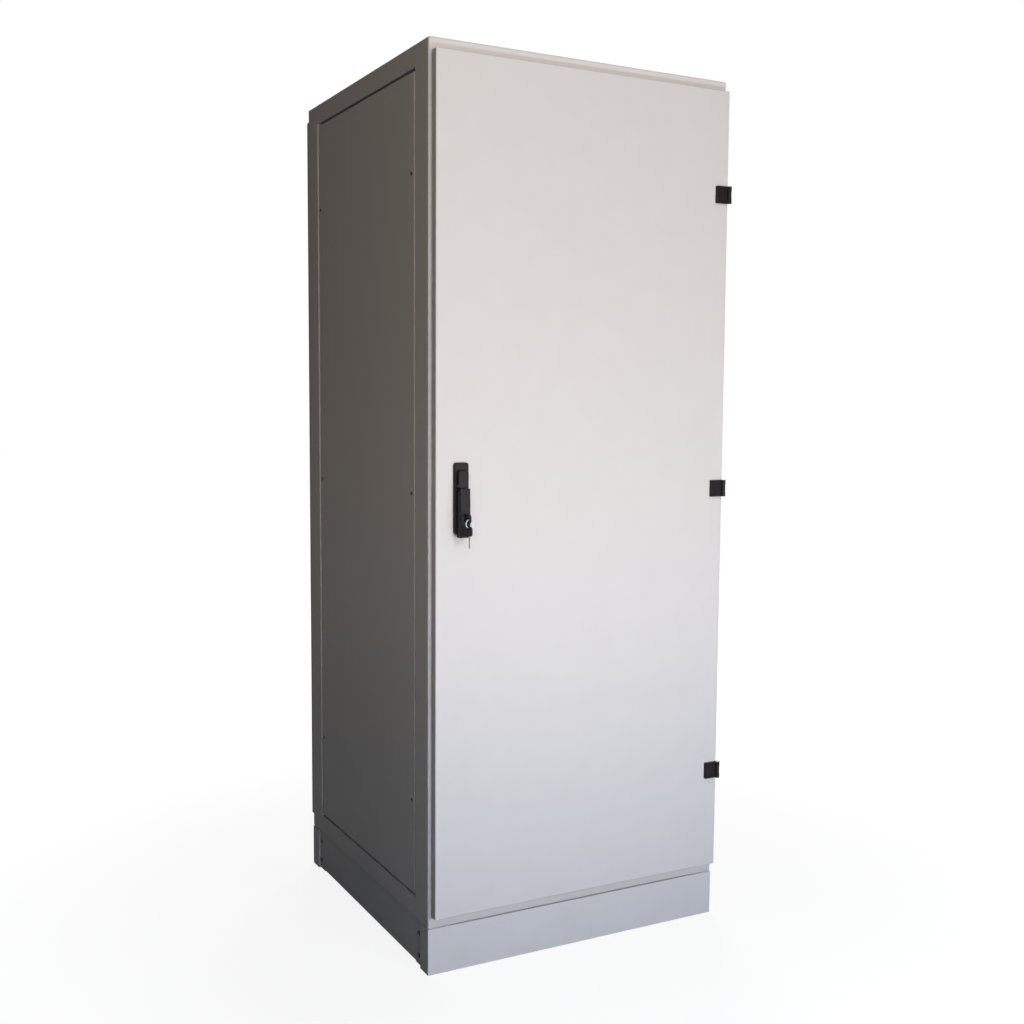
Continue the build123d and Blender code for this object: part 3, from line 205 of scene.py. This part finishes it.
# %% [markdown]
# ## Powder coat
# The frame, door and panels wear one light grey powder coat: a baked film with a fine orange peel, nearly
# matt, very slightly uneven in tone. It could be an image of real paint, but the peel is about a
# millimetre across, so two noises do it at any distance: one for the bump, one for tone and gloss. A
# trace of dust gathers low on the plinth, and the film is a shade paler where it thins over a fold.

# %% Powder coat on the body and the plinth
pale_dust = (0.42, 0.39, 0.35)
coat_swing = 0.028
coat_rough = (0.44, 0.58)


def powder_coat(name, tone, thin_tone, dust):
    """A light powder coat: mottled tone, orange-peel bump, thin edges and a little dust."""
    material, tree, bsdf = start_finish(name)
    grain = place_group(tree, coat_grain, **{"Grain Scale": 620, "Mottle Scale": 14})
    edges = place_group(tree, rubbed_edges, Width=0.002, Amount=0.5)
    dusty = place_group(tree, settled_dust, Amount=dust, Reach=0.30)
    darker, lighter = ([(1 + swing) * v for v in tone] for swing in (-coat_swing, coat_swing))
    film = mixed_colour(tree, grain.outputs["Mottle"], darker, lighter)
    worn = mixed_colour(tree, edges.outputs["Mask"], film, thin_tone)
    coat = mixed_colour(tree, dusty.outputs["Mask"], worn, pale_dust)
    tree.links.new(coat, bsdf.inputs["Base Color"])
    tree.links.new(spread_value(tree, grain.outputs["Mottle"], *coat_rough), bsdf.inputs["Roughness"])
    bsdf.inputs["Specular IOR Level"].default_value = 0.35
    raise_bump(tree, bsdf, grain.outputs["Height"], strength=0.18, distance=0.0004)
    return material


finishes = {
    "body_paint": powder_coat(
        "light grey powder coat", tone=(0.705, 0.697, 0.688), thin_tone=(0.78, 0.775, 0.77), dust=0.10
    ),
    "plinth_paint": powder_coat(
        "plinth powder coat", tone=(0.690, 0.690, 0.690), thin_tone=(0.77, 0.77, 0.77), dust=0.22
    ),
}
print("powder coats:", [finishes[slot].name for slot in finishes])

# %% [markdown]
# ## Black coating and mouldings
# The hinges and the handle are zinc castings under a satin black coating, and the key grips and rod guides
# are moulded plastic. Black needs its detail in gloss more than in colour, so roughness varies and the
# edges are rubbed a little greyer. The moulding is duller and has a coarser grain.

# %% Black coating and mouldings
grey_dust = (0.25, 0.24, 0.22)
dark_share, light_share = 0.8, 1.25


def black_skin(name, tone, edge_tone, rough, grain_scale, peel):
    """A satin black: soft mottle in gloss, greyer rubbed edges and a fine grain."""
    material, tree, bsdf = start_finish(name)
    grain = place_group(tree, coat_grain, **{"Grain Scale": grain_scale, "Mottle Scale": 70})
    edges = place_group(tree, rubbed_edges, Width=0.0008, Amount=0.55)
    dusty = place_group(tree, settled_dust, Amount=0.10, Reach=0.2)
    darker, lighter = ([share * v for v in tone] for share in (dark_share, light_share))
    skin = mixed_colour(tree, grain.outputs["Mottle"], darker, lighter)
    worn = mixed_colour(tree, edges.outputs["Mask"], skin, edge_tone)
    coat = mixed_colour(tree, dusty.outputs["Mask"], worn, grey_dust)
    tree.links.new(coat, bsdf.inputs["Base Color"])
    tree.links.new(spread_value(tree, grain.outputs["Mottle"], *rough), bsdf.inputs["Roughness"])
    bsdf.inputs["Specular IOR Level"].default_value = 0.2
    raise_bump(tree, bsdf, grain.outputs["Height"], strength=peel, distance=0.0003)
    return material


finishes["black_coating"] = black_skin(
    "satin black coating",
    tone=(0.0130, 0.0100, 0.0118),
    edge_tone=(0.040, 0.035, 0.037),
    rough=(0.40, 0.56),
    grain_scale=1300,
    peel=0.14,
)
finishes["black_moulding"] = black_skin(
    "black moulding",
    tone=(0.017, 0.017, 0.018),
    edge_tone=(0.035, 0.035, 0.036),
    rough=(0.42, 0.60),
    grain_scale=900,
    peel=0.22,
)
print("blacks:", finishes["black_coating"].name, "and", finishes["black_moulding"].name)

# %% [markdown]
# ## Foam seals
# The seals are closed-cell foam strips: matt, almost black, with a pitted skin. A Voronoi texture gives
# the cells, used both as small changes of tone and as the bump.

# %% Foam seals
pit, wall = (0.016, 0.016, 0.016), (0.034, 0.034, 0.034)
foam_rough = (0.8, 0.95)


def foam_finish():
    """Matt black foam with a pitted skin."""
    material, tree, bsdf = start_finish("black seal foam")
    place = tree.nodes.new("ShaderNodeTexCoord").outputs["Object"]
    cells = tree.nodes.new("ShaderNodeTexVoronoi")
    cells.inputs["Scale"].default_value = 900
    tree.links.new(place, cells.inputs["Vector"])
    tree.links.new(mixed_colour(tree, cells.outputs["Distance"], pit, wall), bsdf.inputs["Base Color"])
    tree.links.new(spread_value(tree, cells.outputs["Distance"], *foam_rough), bsdf.inputs["Roughness"])
    raise_bump(tree, bsdf, cells.outputs["Distance"], strength=0.5, distance=0.0004)
    return material


finishes["seal_foam"] = foam_finish()
print("foam:", finishes["seal_foam"].name)

# %% [markdown]
# ## Bare and plated metals
# Inside, the mounting plate, its rails and the gland plates are galvanised: zinc crystals a centimetre
# across, each a slightly different grey. Rods and pins are drawn steel with long streaks. Screws are
# dark zinc, the gearbox is a dull casting, the lock is plated dark and the keys are dull brass. All are the
# same metal shader with a different pattern: cells, streaks or plain grain.

# %% Bare and plated metals
edge_gain, brightest_edge = 1.25, 0.95


def metal_finish(name, tones, rough, pattern, scale, stretch=(1, 1, 1), peel=0.1):
    """A metal whose tone, gloss and bump follow one pattern: crystal cells, drawn streaks or grain."""
    material, tree, bsdf = start_finish(name)
    place = tree.nodes.new("ShaderNodeMapping")
    place.inputs["Scale"].default_value = stretch
    tree.links.new(tree.nodes.new("ShaderNodeTexCoord").outputs["Object"], place.inputs["Vector"])
    if pattern == "cells":
        texture = tree.nodes.new("ShaderNodeTexVoronoi")
        mask = texture.outputs["Color"]
    else:
        texture = tree.nodes.new("ShaderNodeTexNoise")
        texture.inputs["Detail"].default_value = 5
        mask = texture.outputs["Fac"]
    texture.inputs["Scale"].default_value = scale
    tree.links.new(place.outputs["Vector"], texture.inputs["Vector"])
    edges = place_group(tree, rubbed_edges, Width=0.0006, Amount=0.6)
    surface = mixed_colour(tree, mask, *tones)
    bright = [min(brightest_edge, edge_gain * v) for v in tones[1]]
    tree.links.new(mixed_colour(tree, edges.outputs["Mask"], surface, bright), bsdf.inputs["Base Color"])
    tree.links.new(spread_value(tree, mask, *rough), bsdf.inputs["Roughness"])
    bsdf.inputs["Metallic"].default_value = 1
    raise_bump(tree, bsdf, mask, strength=peel, distance=0.0002)
    return material


finishes["galvanised_sheet"] = metal_finish(
    "galvanised sheet", ((0.38, 0.39, 0.40), (0.52, 0.53, 0.54)), (0.54, 0.70), "cells", scale=95, peel=0.04
)
finishes["bright_steel"] = metal_finish(
    "drawn steel", ((0.46, 0.46, 0.46), (0.62, 0.61, 0.60)), (0.24, 0.40), "streaks", scale=260,
    stretch=(1, 1, 0.03),
)
finishes["zinc_fasteners"] = metal_finish(
    "dark zinc", ((0.08, 0.077, 0.075), (0.15, 0.145, 0.14)), (0.18, 0.32), "grain", scale=480
)
finishes["gearbox_zinc"] = metal_finish(
    "dull casting", ((0.36, 0.36, 0.37), (0.50, 0.50, 0.51)), (0.46, 0.66), "grain", scale=700, peel=0.3
)
finishes["lock_chrome"] = metal_finish(
    "dark lock plating", ((0.10, 0.10, 0.11), (0.17, 0.17, 0.19)), (0.16, 0.28), "grain", scale=350
)
finishes["key_brass"] = metal_finish(
    "dull key brass", ((0.43, 0.37, 0.33), (0.60, 0.53, 0.48)), (0.30, 0.48), "grain", scale=420
)
print("finishes:", [finish.name for finish in finishes.values()])

# %% [markdown]
# ## Dressing the CAD nodes
# Each node takes the finish of its slot in the record. Sheet metal keeps the CAD mesh with its exact normals.
# The black castings and mouldings show soft edges, so they get a stack of modifiers: Weld joins doubled
# points, a planar Decimate melts flat triangles into whole faces, a small Bevel gives each edge the radius
# of a real casting, and Weighted Normal keeps the flats flat. The mesh itself is left alone, because CAD
# owns the shape.

# %% Dress the CAD nodes
slot_of = {row["node"]: row["material_slot"] for row in frame["record"]["subparts"]}
edge_radius = {"black_coating": 0.0005, "black_moulding": 0.0006}
doubled_distance = 0.000002
flat_angle, edge_angle = math.radians(0.5), math.radians(40)


def soften_edges(node, radius):
    """Rounds the edges of a casting or moulding with modifiers."""
    weld = node.modifiers.new("join doubled points", "WELD")
    weld.merge_threshold = doubled_distance
    flat = node.modifiers.new("melt flat triangles", "DECIMATE")
    flat.decimate_type = "DISSOLVE"
    flat.angle_limit = flat_angle
    edge = node.modifiers.new("softened edges", "BEVEL")
    edge.width = radius
    edge.segments = 2
    edge.limit_method = "ANGLE"
    edge.angle_limit = edge_angle
    even = node.modifiers.new("flat flats", "WEIGHTED_NORMAL")
    even.weight = 100


def dress(name):
    """Gives a CAD node its finish and, where it is cast or moulded, softened edges."""
    node = nodes[name]
    node.data.materials.clear()
    node.data.materials.append(finishes[slot_of[name]])
    if slot_of[name] in edge_radius:
        soften_edges(node, edge_radius[slot_of[name]])


for name in nodes:
    dress(name)
print("dressed", len(nodes), "nodes in", len(finishes), "finishes")

# %% [markdown]
# ## Adding a piece
# A piece made here has to move with the right body of the cabinet, carry a slot's finish and, where it takes
# the place of a CAD node, hide that node. One helper does this for every piece, and marks edges sharper than
# 35 degrees so that curves shade smoothly and corners stay crisp.

# %% Adding a piece
smooth_angle = math.radians(35)


def add_piece(name, shape, slot, body, replaced):
    """Turns a bmesh into a piece that wears a finish, rides a body and stands for a CAD node."""
    bmesh.ops.recalc_face_normals(shape, faces=shape.faces)
    mesh = bpy.data.meshes.new(name)
    shape.to_mesh(mesh)
    shape.free()
    mesh.materials.append(finishes[slot])
    mesh.polygons.foreach_set("use_smooth", [True] * len(mesh.polygons))
    mesh.set_sharp_from_angle(angle=smooth_angle)
    piece = bpy.data.objects.new(name, mesh)
    bpy.context.scene.collection.objects.link(piece)
    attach(piece, body)
    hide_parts(replaced)
    print(name, "has", len(mesh.polygons), "faces and rides", body)


def band(shape, lower, upper):
    """Joins two rings of points with a closed band of faces."""
    count = len(lower)
    for i in range(count):
        shape.faces.new((lower[i], lower[(i + 1) % count], upper[(i + 1) % count], upper[i]))


print("edges past", round(math.degrees(smooth_angle)), "degrees stay crisp")

# %% [markdown]
# ## Screw heads with their recesses
# The panels are held by low screws with a cross recess, and the plinth by button-head bolts with a hexagon
# socket. In the photograph each is a dark speck with a glint, and that comes from the recess. The CAD heads
# are plain, so each is made again at the same place and size: rings of points run up the shank, over the
# dome and down into a recess whose outline is a function of the angle. A boolean could cut it too, but
# leaves untidy faces on a dome.

# %% Places of the CAD screws
same_point = 0.00001


def separate_boxes(name):
    """The lowest and highest corner of every separate solid in a CAD node, in the order of its points."""
    shape = bmesh.new()
    shape.from_mesh(nodes[name].data)
    bmesh.ops.remove_doubles(shape, verts=shape.verts, dist=same_point)
    seen, boxes = set(), []
    for first in shape.verts:
        if first in seen:
            continue
        seen.add(first)
        reached, solid = [first], []
        while reached:
            point = reached.pop()
            solid.append(point.co.copy())
            for link in point.link_edges:
                other = link.other_vert(point)
                if other not in seen:
                    seen.add(other)
                    reached.append(other)
        boxes.append([Vector([pick(p[axis] for p in solid) for axis in range(3)]) for pick in (min, max)])
    shape.free()
    return boxes


print({name: len(separate_boxes(name)) for name in ("side_panel_screws", "plinth_side_bolts")})

# %% Recess outlines
cross_reach, cross_half_width, socket_half_width = 0.56, 0.15, 0.42
least_share = 0.001
flat_turn = math.radians(60)


def cross_recess(angle):
    """Reach of a cross recess at an angle, as a share of the head's radius."""
    across, along = sorted((abs(math.cos(angle)), abs(math.sin(angle))))
    return min(cross_reach / along, cross_half_width / max(across, least_share))


def hexagon_socket(angle):
    """Reach of a hexagon socket at an angle, as a share of the head's radius."""
    return socket_half_width / math.cos((angle % flat_turn) - flat_turn / 2)


print("cross reach", round(cross_recess(0), 2), "socket reach", round(hexagon_socket(0), 2))

# %% One screw
ring_points = 48
end_taper, end_from = 0.8, 0.96
seat_share, seat_rise = 0.97, 0.1
rim_share, dome_share, flat_share = 0.35, 0.38, 0.68
dome_rises, dome_end = [math.radians(turn) for turn in (20, 38, 54)], math.radians(62)
recess_taper, recess_floor, recess_middle = 0.9, (0.3, 0.2), 0.1


def make_screw(shape, place, radius, height, shank, length, outline):
    """Adds a domed screw with a recess to a bmesh; place turns its own +Z into the head's direction."""
    angles = [2 * math.pi * i / ring_points for i in range(ring_points)]
    plain, recess = [1] * ring_points, [outline(a) for a in angles]

    def ring(shares, reach, level):
        """A ring of points; shares bend the circle into the outline of the recess."""
        spots = [(reach * s * math.cos(a), reach * s * math.sin(a), level) for s, a in zip(shares, angles)]
        return [shape.verts.new(place @ Vector(spot)) for spot in spots]

    levels = [(shank * end_taper, -length), (shank, -length * end_from), (shank, 0)]
    levels += [(radius * seat_share, 0), (radius, height * seat_rise), (radius, height * rim_share)]
    for rise in dome_rises:
        reach = radius * (1 - dome_share + dome_share * math.cos(rise))
        level = height * (rim_share + (1 - rim_share) * math.sin(rise) / math.sin(dome_end))
        levels.append((reach, level))
    rings = [ring(plain, *level) for level in levels + [(radius * flat_share, height)]]
    rings.append(ring(recess, radius, height))
    rings.append(ring(recess, radius * recess_taper, height * recess_floor[0]))
    rings.append(ring(plain, radius * recess_middle, height * recess_floor[1]))
    for lower, upper in zip(rings, rings[1:]):
        band(shape, lower, upper)
    shape.faces.new(rings[0])
    shape.faces.new(rings[-1])


print("a screw has", ring_points, "points around")

# %% Screws of the side panels, the rear panel and the plinth
def remake_screws(name, axis, height, shank, outline):
    """Makes every screw of a CAD node again with a recess; its heads face along the axis."""
    shape = bmesh.new()
    for low, high in separate_boxes(name):
        middle = (low + high) / 2
        outward = 1 if middle[axis] > 0 else -1
        facing = Vector([outward if i == axis else 0 for i in range(3)])
        across = 1 if axis == 0 else 0
        radius = (high[across] - low[across]) / 2
        seat = middle.copy()
        seat[axis] = (high if outward > 0 else low)[axis] - outward * height
        place = Matrix.Translation(seat) @ facing.to_track_quat("Z", "Y").to_matrix().to_4x4()
        make_screw(shape, place, radius, height, shank, high[axis] - low[axis] - height, outline)
    add_piece(name + "_recessed", shape, "zinc_fasteners", "cabinet", name)


for name, axis, height, shank, outline in (
    ("side_panel_screws", 0, 0.0020, 0.0024, cross_recess),
    ("rear_panel_screws", 1, 0.0025, 0.0025, cross_recess),
    ("plinth_side_bolts", 0, 0.0033, 0.0030, hexagon_socket),
):
    remake_screws(name, axis, height, shank, outline)

# %% [markdown]
# ## Split ring
# The two keys hang together on a split ring: flat spring wire wound twice, so that a key can be worked on.
# In CAD it is one plain ring. Here the wire's section is swept along two turns that lie side by side and
# cross over in one short stretch. A curve with a bevel would do it as well, but a sweep of one's own gives
# a flat section that doesn't twist.

# %% Split ring
wire_wide_share, wire_thick_share, turns_apart_share = 0.36, 0.235, 0.5
wire_margin = 0.00002
turn_points, section_points = 192, 12
crossing_from, crossing_span = 1.7 * math.pi, 0.6 * math.pi
wire_start = 2.4


def squared(value):
    """Pushes a sine or cosine outwards, so that a round section becomes a flat one with soft corners."""
    return math.copysign(abs(value) ** 0.5, value)


def make_split_ring(name):
    """A two-turn ring of flat wire that fills the CAD ring's box."""
    low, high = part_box(name)
    centre = (Vector(low) + Vector(high)) / 2
    outer = (high[0] - low[0]) / 2
    thickness = high[1] - low[1]
    wide, thick = thickness * wire_wide_share, thickness * wire_thick_share
    middle = outer - wide - wire_margin
    shape, sections = bmesh.new(), []
    for i in range(turn_points + 1):
        turn = 4 * math.pi * i / turn_points
        crossing = min(1, max(0, (turn - crossing_from) / crossing_span))
        eased = crossing * crossing * (3 - 2 * crossing)
        side = (eased - 0.5) * thickness * turns_apart_share
        section = []
        for j in range(section_points):
            angle = 2 * math.pi * j / section_points
            reach = middle + wide * squared(math.cos(angle))
            depth = side + thick * squared(math.sin(angle))
            around = turn + wire_start
            spot = Vector((reach * math.sin(around), depth, reach * math.cos(around)))
            section.append(shape.verts.new(centre + spot))
        sections.append(section)
    for lower, upper in zip(sections, sections[1:]):
        band(shape, lower, upper)
    shape.faces.new(sections[0])
    shape.faces.new(sections[-1])
    add_piece("split_ring", shape, slot_of[name], "ring", name)


make_split_ring("key_ring")

# %% [markdown]
# ## Blade of the spare key
# The hanging key's blade is a flat strip with a groove milled down each face and notches filed in one edge.
# It is built as a grid: stations run down the blade, and at each one eight points run across each face, thin
# in the middle for the groove and pulled in at one edge by the depth of the notch there.

# %% Blade of the spare key
notch_shares = (0, 0, 0.30, 0.30, 0.12, 0.48, 0.48, 0.22, 0.38, 0.38, 0.14, 0.42, 0.42, 0.20, 0.20, 0.55)
tip_share, edge_slope, back_slope = 0.45, 0.08, 0.94
groove_from, groove_to = (-0.22, -0.16), (0.30, 0.36)
edge_thin, groove_thin = 0.85, 0.62


def make_blade(name):
    """A notched and grooved key blade in the CAD blade's box."""
    low, high = (Vector(corner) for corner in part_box(name))
    centre, half = (low + high) / 2, (high - low) / 2
    shape, rows = bmesh.new(), []
    last = len(notch_shares) - 1
    for i, notch in enumerate(notch_shares):
        level = high.z - (high.z - low.z) * i / last
        tip = 1 if i < last else tip_share
        edge, back = -half.y * (1 - notch) * tip, half.y * tip
        across = [(edge, edge_thin), (edge + half.y * edge_slope, 1)]
        across += [(half.y * groove_from[0], 1), (half.y * groove_from[1], groove_thin)]
        across += [(half.y * groove_to[0], groove_thin), (half.y * groove_to[1], 1)]
        across += [(back * back_slope, 1), (back, edge_thin)]
        row = [(centre.x + half.x * share, centre.y + y, level) for y, share in across]
        row += [(centre.x - half.x * share, centre.y + y, level) for y, share in reversed(across)]
        rows.append([shape.verts.new(point) for point in row])
    for upper, lower in zip(rows, rows[1:]):
        band(shape, upper, lower)
    shape.faces.new(rows[0])
    shape.faces.new(rows[-1])
    add_piece("notched_blade", shape, slot_of[name], "ring", name)


make_blade("spare_key_blade")

# %% [markdown]
# ## The studio
# The photograph shows the cabinet cut out on white, so the floor and the world are white to the camera. Light
# Path makes them dim to shiny surfaces and nearly dark to the paint: otherwise the white floor would light
# the shaded side far more than the photograph shows. The floor still takes the cabinet's soft shadow, and its
# glow is painted darker near the cabinet, a painted shade round the base that fades to white further out.

# %% World
def path_value(tree, base, camera_rays, glossy_rays):
    """A number for most rays, with amounts added for rays from the camera and from shiny surfaces."""
    path = tree.nodes.new("ShaderNodeLightPath")
    total = base
    for label, amount in (("Is Camera Ray", camera_rays), ("Is Glossy Ray", glossy_rays)):
        step = tree.nodes.new("ShaderNodeMath")
        step.operation = "MULTIPLY_ADD"
        tree.links.new(path.outputs[label], step.inputs[0])
        step.inputs[1].default_value = amount
        if isinstance(total, bpy.types.NodeSocket):
            tree.links.new(total, step.inputs[2])
        else:
            step.inputs[2].default_value = total
        total = step.outputs["Value"]
    return total


paint_light, camera_white, shine_light = 0.008, 0.992, 0.13
world = bpy.data.worlds.new("white studio")
bpy.context.scene.world = world
world.use_nodes = True
room = world.node_tree.nodes["Background"]
room.inputs["Color"].default_value = (1, 1, 1, 1)
brightness = path_value(world.node_tree, paint_light, camera_white, shine_light)
world.node_tree.links.new(brightness, room.inputs["Strength"])
print("world:", world.name)

# %% Floor
floor_reach, floor_drop = 30, 0.0008
floor_mesh = bpy.data.meshes.new("studio_floor")
floor_corners = [(floor_reach * x, floor_reach * y, 0) for x, y in ((-1, -1), (1, -1), (1, 1), (-1, 1))]
floor_mesh.from_pydata(floor_corners, [], [(0, 1, 2, 3)])
floor = bpy.data.objects.new("studio_floor", floor_mesh)
floor.location.z = -floor_drop
bpy.context.scene.collection.objects.link(floor)
print("floor:", floor.name)

# %% Floor paper
# Painted shade: the floor's glow drops to shade_level near the cabinet and rises smoothly to full white
# between shade_from and shade_to metres from the middle.
shade_from, shade_to, shade_level = 0.6, 2.2, 0.88
floor_shine = 0.3
paper_tone = (0.13, 0.13, 0.13)
floor_paper, paper_tree, paper = start_finish("white floor paper")
floor_place = paper_tree.nodes.new("ShaderNodeTexCoord").outputs["Object"]
from_middle = paper_tree.nodes.new("ShaderNodeVectorMath")
from_middle.operation = "LENGTH"
paper_tree.links.new(floor_place, from_middle.inputs[0])
painted_floor_shade = paper_tree.nodes.new("ShaderNodeMapRange")
painted_floor_shade.interpolation_type = "SMOOTHSTEP"
painted_floor_shade.inputs["From Min"].default_value = shade_from
painted_floor_shade.inputs["From Max"].default_value = shade_to
painted_floor_shade.inputs["To Min"].default_value = shade_level
painted_floor_shade.inputs["To Max"].default_value = 1
paper_tree.links.new(from_middle.outputs["Value"], painted_floor_shade.inputs["Value"])
glow = paper_tree.nodes.new("ShaderNodeMath")
glow.operation = "MULTIPLY"
paper_tree.links.new(painted_floor_shade.outputs["Result"], glow.inputs[0])
paper_tree.links.new(path_value(paper_tree, 0, 1, floor_shine), glow.inputs[1])
paper.inputs["Base Color"].default_value = (*paper_tone, 1)
paper.inputs["Roughness"].default_value = 1
paper.inputs["Specular IOR Level"].default_value = 0
paper.inputs["Emission Color"].default_value = (1, 1, 1, 1)
paper_tree.links.new(glow.outputs["Value"], paper.inputs["Emission Strength"])
floor_mesh.materials.append(floor_paper)
print("floor wears", floor_paper.name)

# %% [markdown]
# ## Lamps
# The door is bright and slightly warm at the top, and cooler and darker towards the floor, while the left
# side is about seven times darker. A soft warm spot in front, whose beam fades out low on the door, gives the
# first. A weaker and warmer one stands far to the left and is aimed high, because the side is brownest at
# the top, and because the thin edges beside the side panel catch light from there. A large panel high in
# front fills the door, a blue-white one lights the plinth, a very weak one lifts the lower front corner,
# and one behind is for the other views.

# %% Lamps
def aim(lamp, at, target):
    """Puts a lamp at a place, turns it to a target and hides the lamp itself from the camera."""
    lamp.location = at
    lamp.rotation_euler = (Vector(target) - Vector(at)).to_track_quat("-Z", "Y").to_euler()
    lamp.visible_camera = False
    bpy.context.scene.collection.objects.link(lamp)


beam_width, beam_fade, bulb_radius = math.radians(48), 0.75, 0.35


def soft_spot(name, at, target, power, colour):
    """A round soft lamp whose beam fades out towards its rim."""
    data = bpy.data.lights.new(name, "SPOT")
    data.energy = power
    data.color = colour
    data.spot_size = beam_width
    data.spot_blend = beam_fade
    data.shadow_soft_size = bulb_radius
    aim(bpy.data.objects.new(name, data), at, target)


def soft_panel(name, at, target, size, power, colour):
    """A rectangular soft lamp."""
    data = bpy.data.lights.new(name, "AREA")
    data.shape = "RECTANGLE"
    data.size, data.size_y = size
    data.energy = power
    data.color = colour
    aim(bpy.data.objects.new(name, data), at, target)


soft_spot("front_spot", (0.5, -4.2, 1.75), (0.10, -0.42, 1.65), 167, (1, 0.83, 0.615))
soft_spot("left_spot", (-2.6, -3.6, 1.9), (-0.35, -0.35, 2.03), 104, (1, 0.78, 0.54))
soft_panel("high_panel", (-0.3, -3.2, 3.6), (0, -0.42, 0.7), (2.4, 1.2), 47, (0.86, 0.895, 1))
soft_panel("low_panel", (0.1, -2.5, 0.62), (0, -0.42, 0.05), (2.2, 0.5), 33.5, (0.80, 0.864, 1))
soft_panel("corner_panel", (-0.92, -1.1, 0.45), (-0.42, -0.42, 0.4), (0.3, 0.3), 0.46, (1, 0.96, 0.98))
soft_panel("rear_panel", (2.2, 4.2, 2.6), (0.2, 0.4, 1.0), (2.4, 2.4), 190, (1, 1, 1))

# %% [markdown]
# ## Camera
# The place, turn and focal length come from fitting the cabinet's known edges to the photograph, including
# about a third of a degree of roll. Writing the turn as three axis directions avoids guessing at Euler
# angles.

# %% Camera
camera_data = bpy.data.cameras.new("photo_camera")
camera_data.sensor_width, camera_data.lens = 36, 43.734
camera = bpy.data.objects.new("photo_camera", camera_data)
camera_place = (-1.53005, -2.92504, 1.31662)
turn, tilt, roll = 0.488253, -0.087681, 0.006495
ahead = Vector((math.sin(turn) * math.cos(tilt), math.cos(turn) * math.cos(tilt), math.sin(tilt)))
level_right = Vector((math.cos(turn), -math.sin(turn), 0))
level_up = level_right.cross(ahead)
right = level_right * math.cos(roll) + level_up * math.sin(roll)
up = level_up * math.cos(roll) - level_right * math.sin(roll)
axes = Matrix((right, up, -ahead)).transposed().to_4x4()
camera.matrix_world = Matrix.Translation(camera_place) @ axes
bpy.context.scene.collection.objects.link(camera)
bpy.context.scene.camera = camera
bpy.context.scene.view_settings.view_transform = "Standard"
print("camera at", tuple(round(v, 3) for v in camera.location))
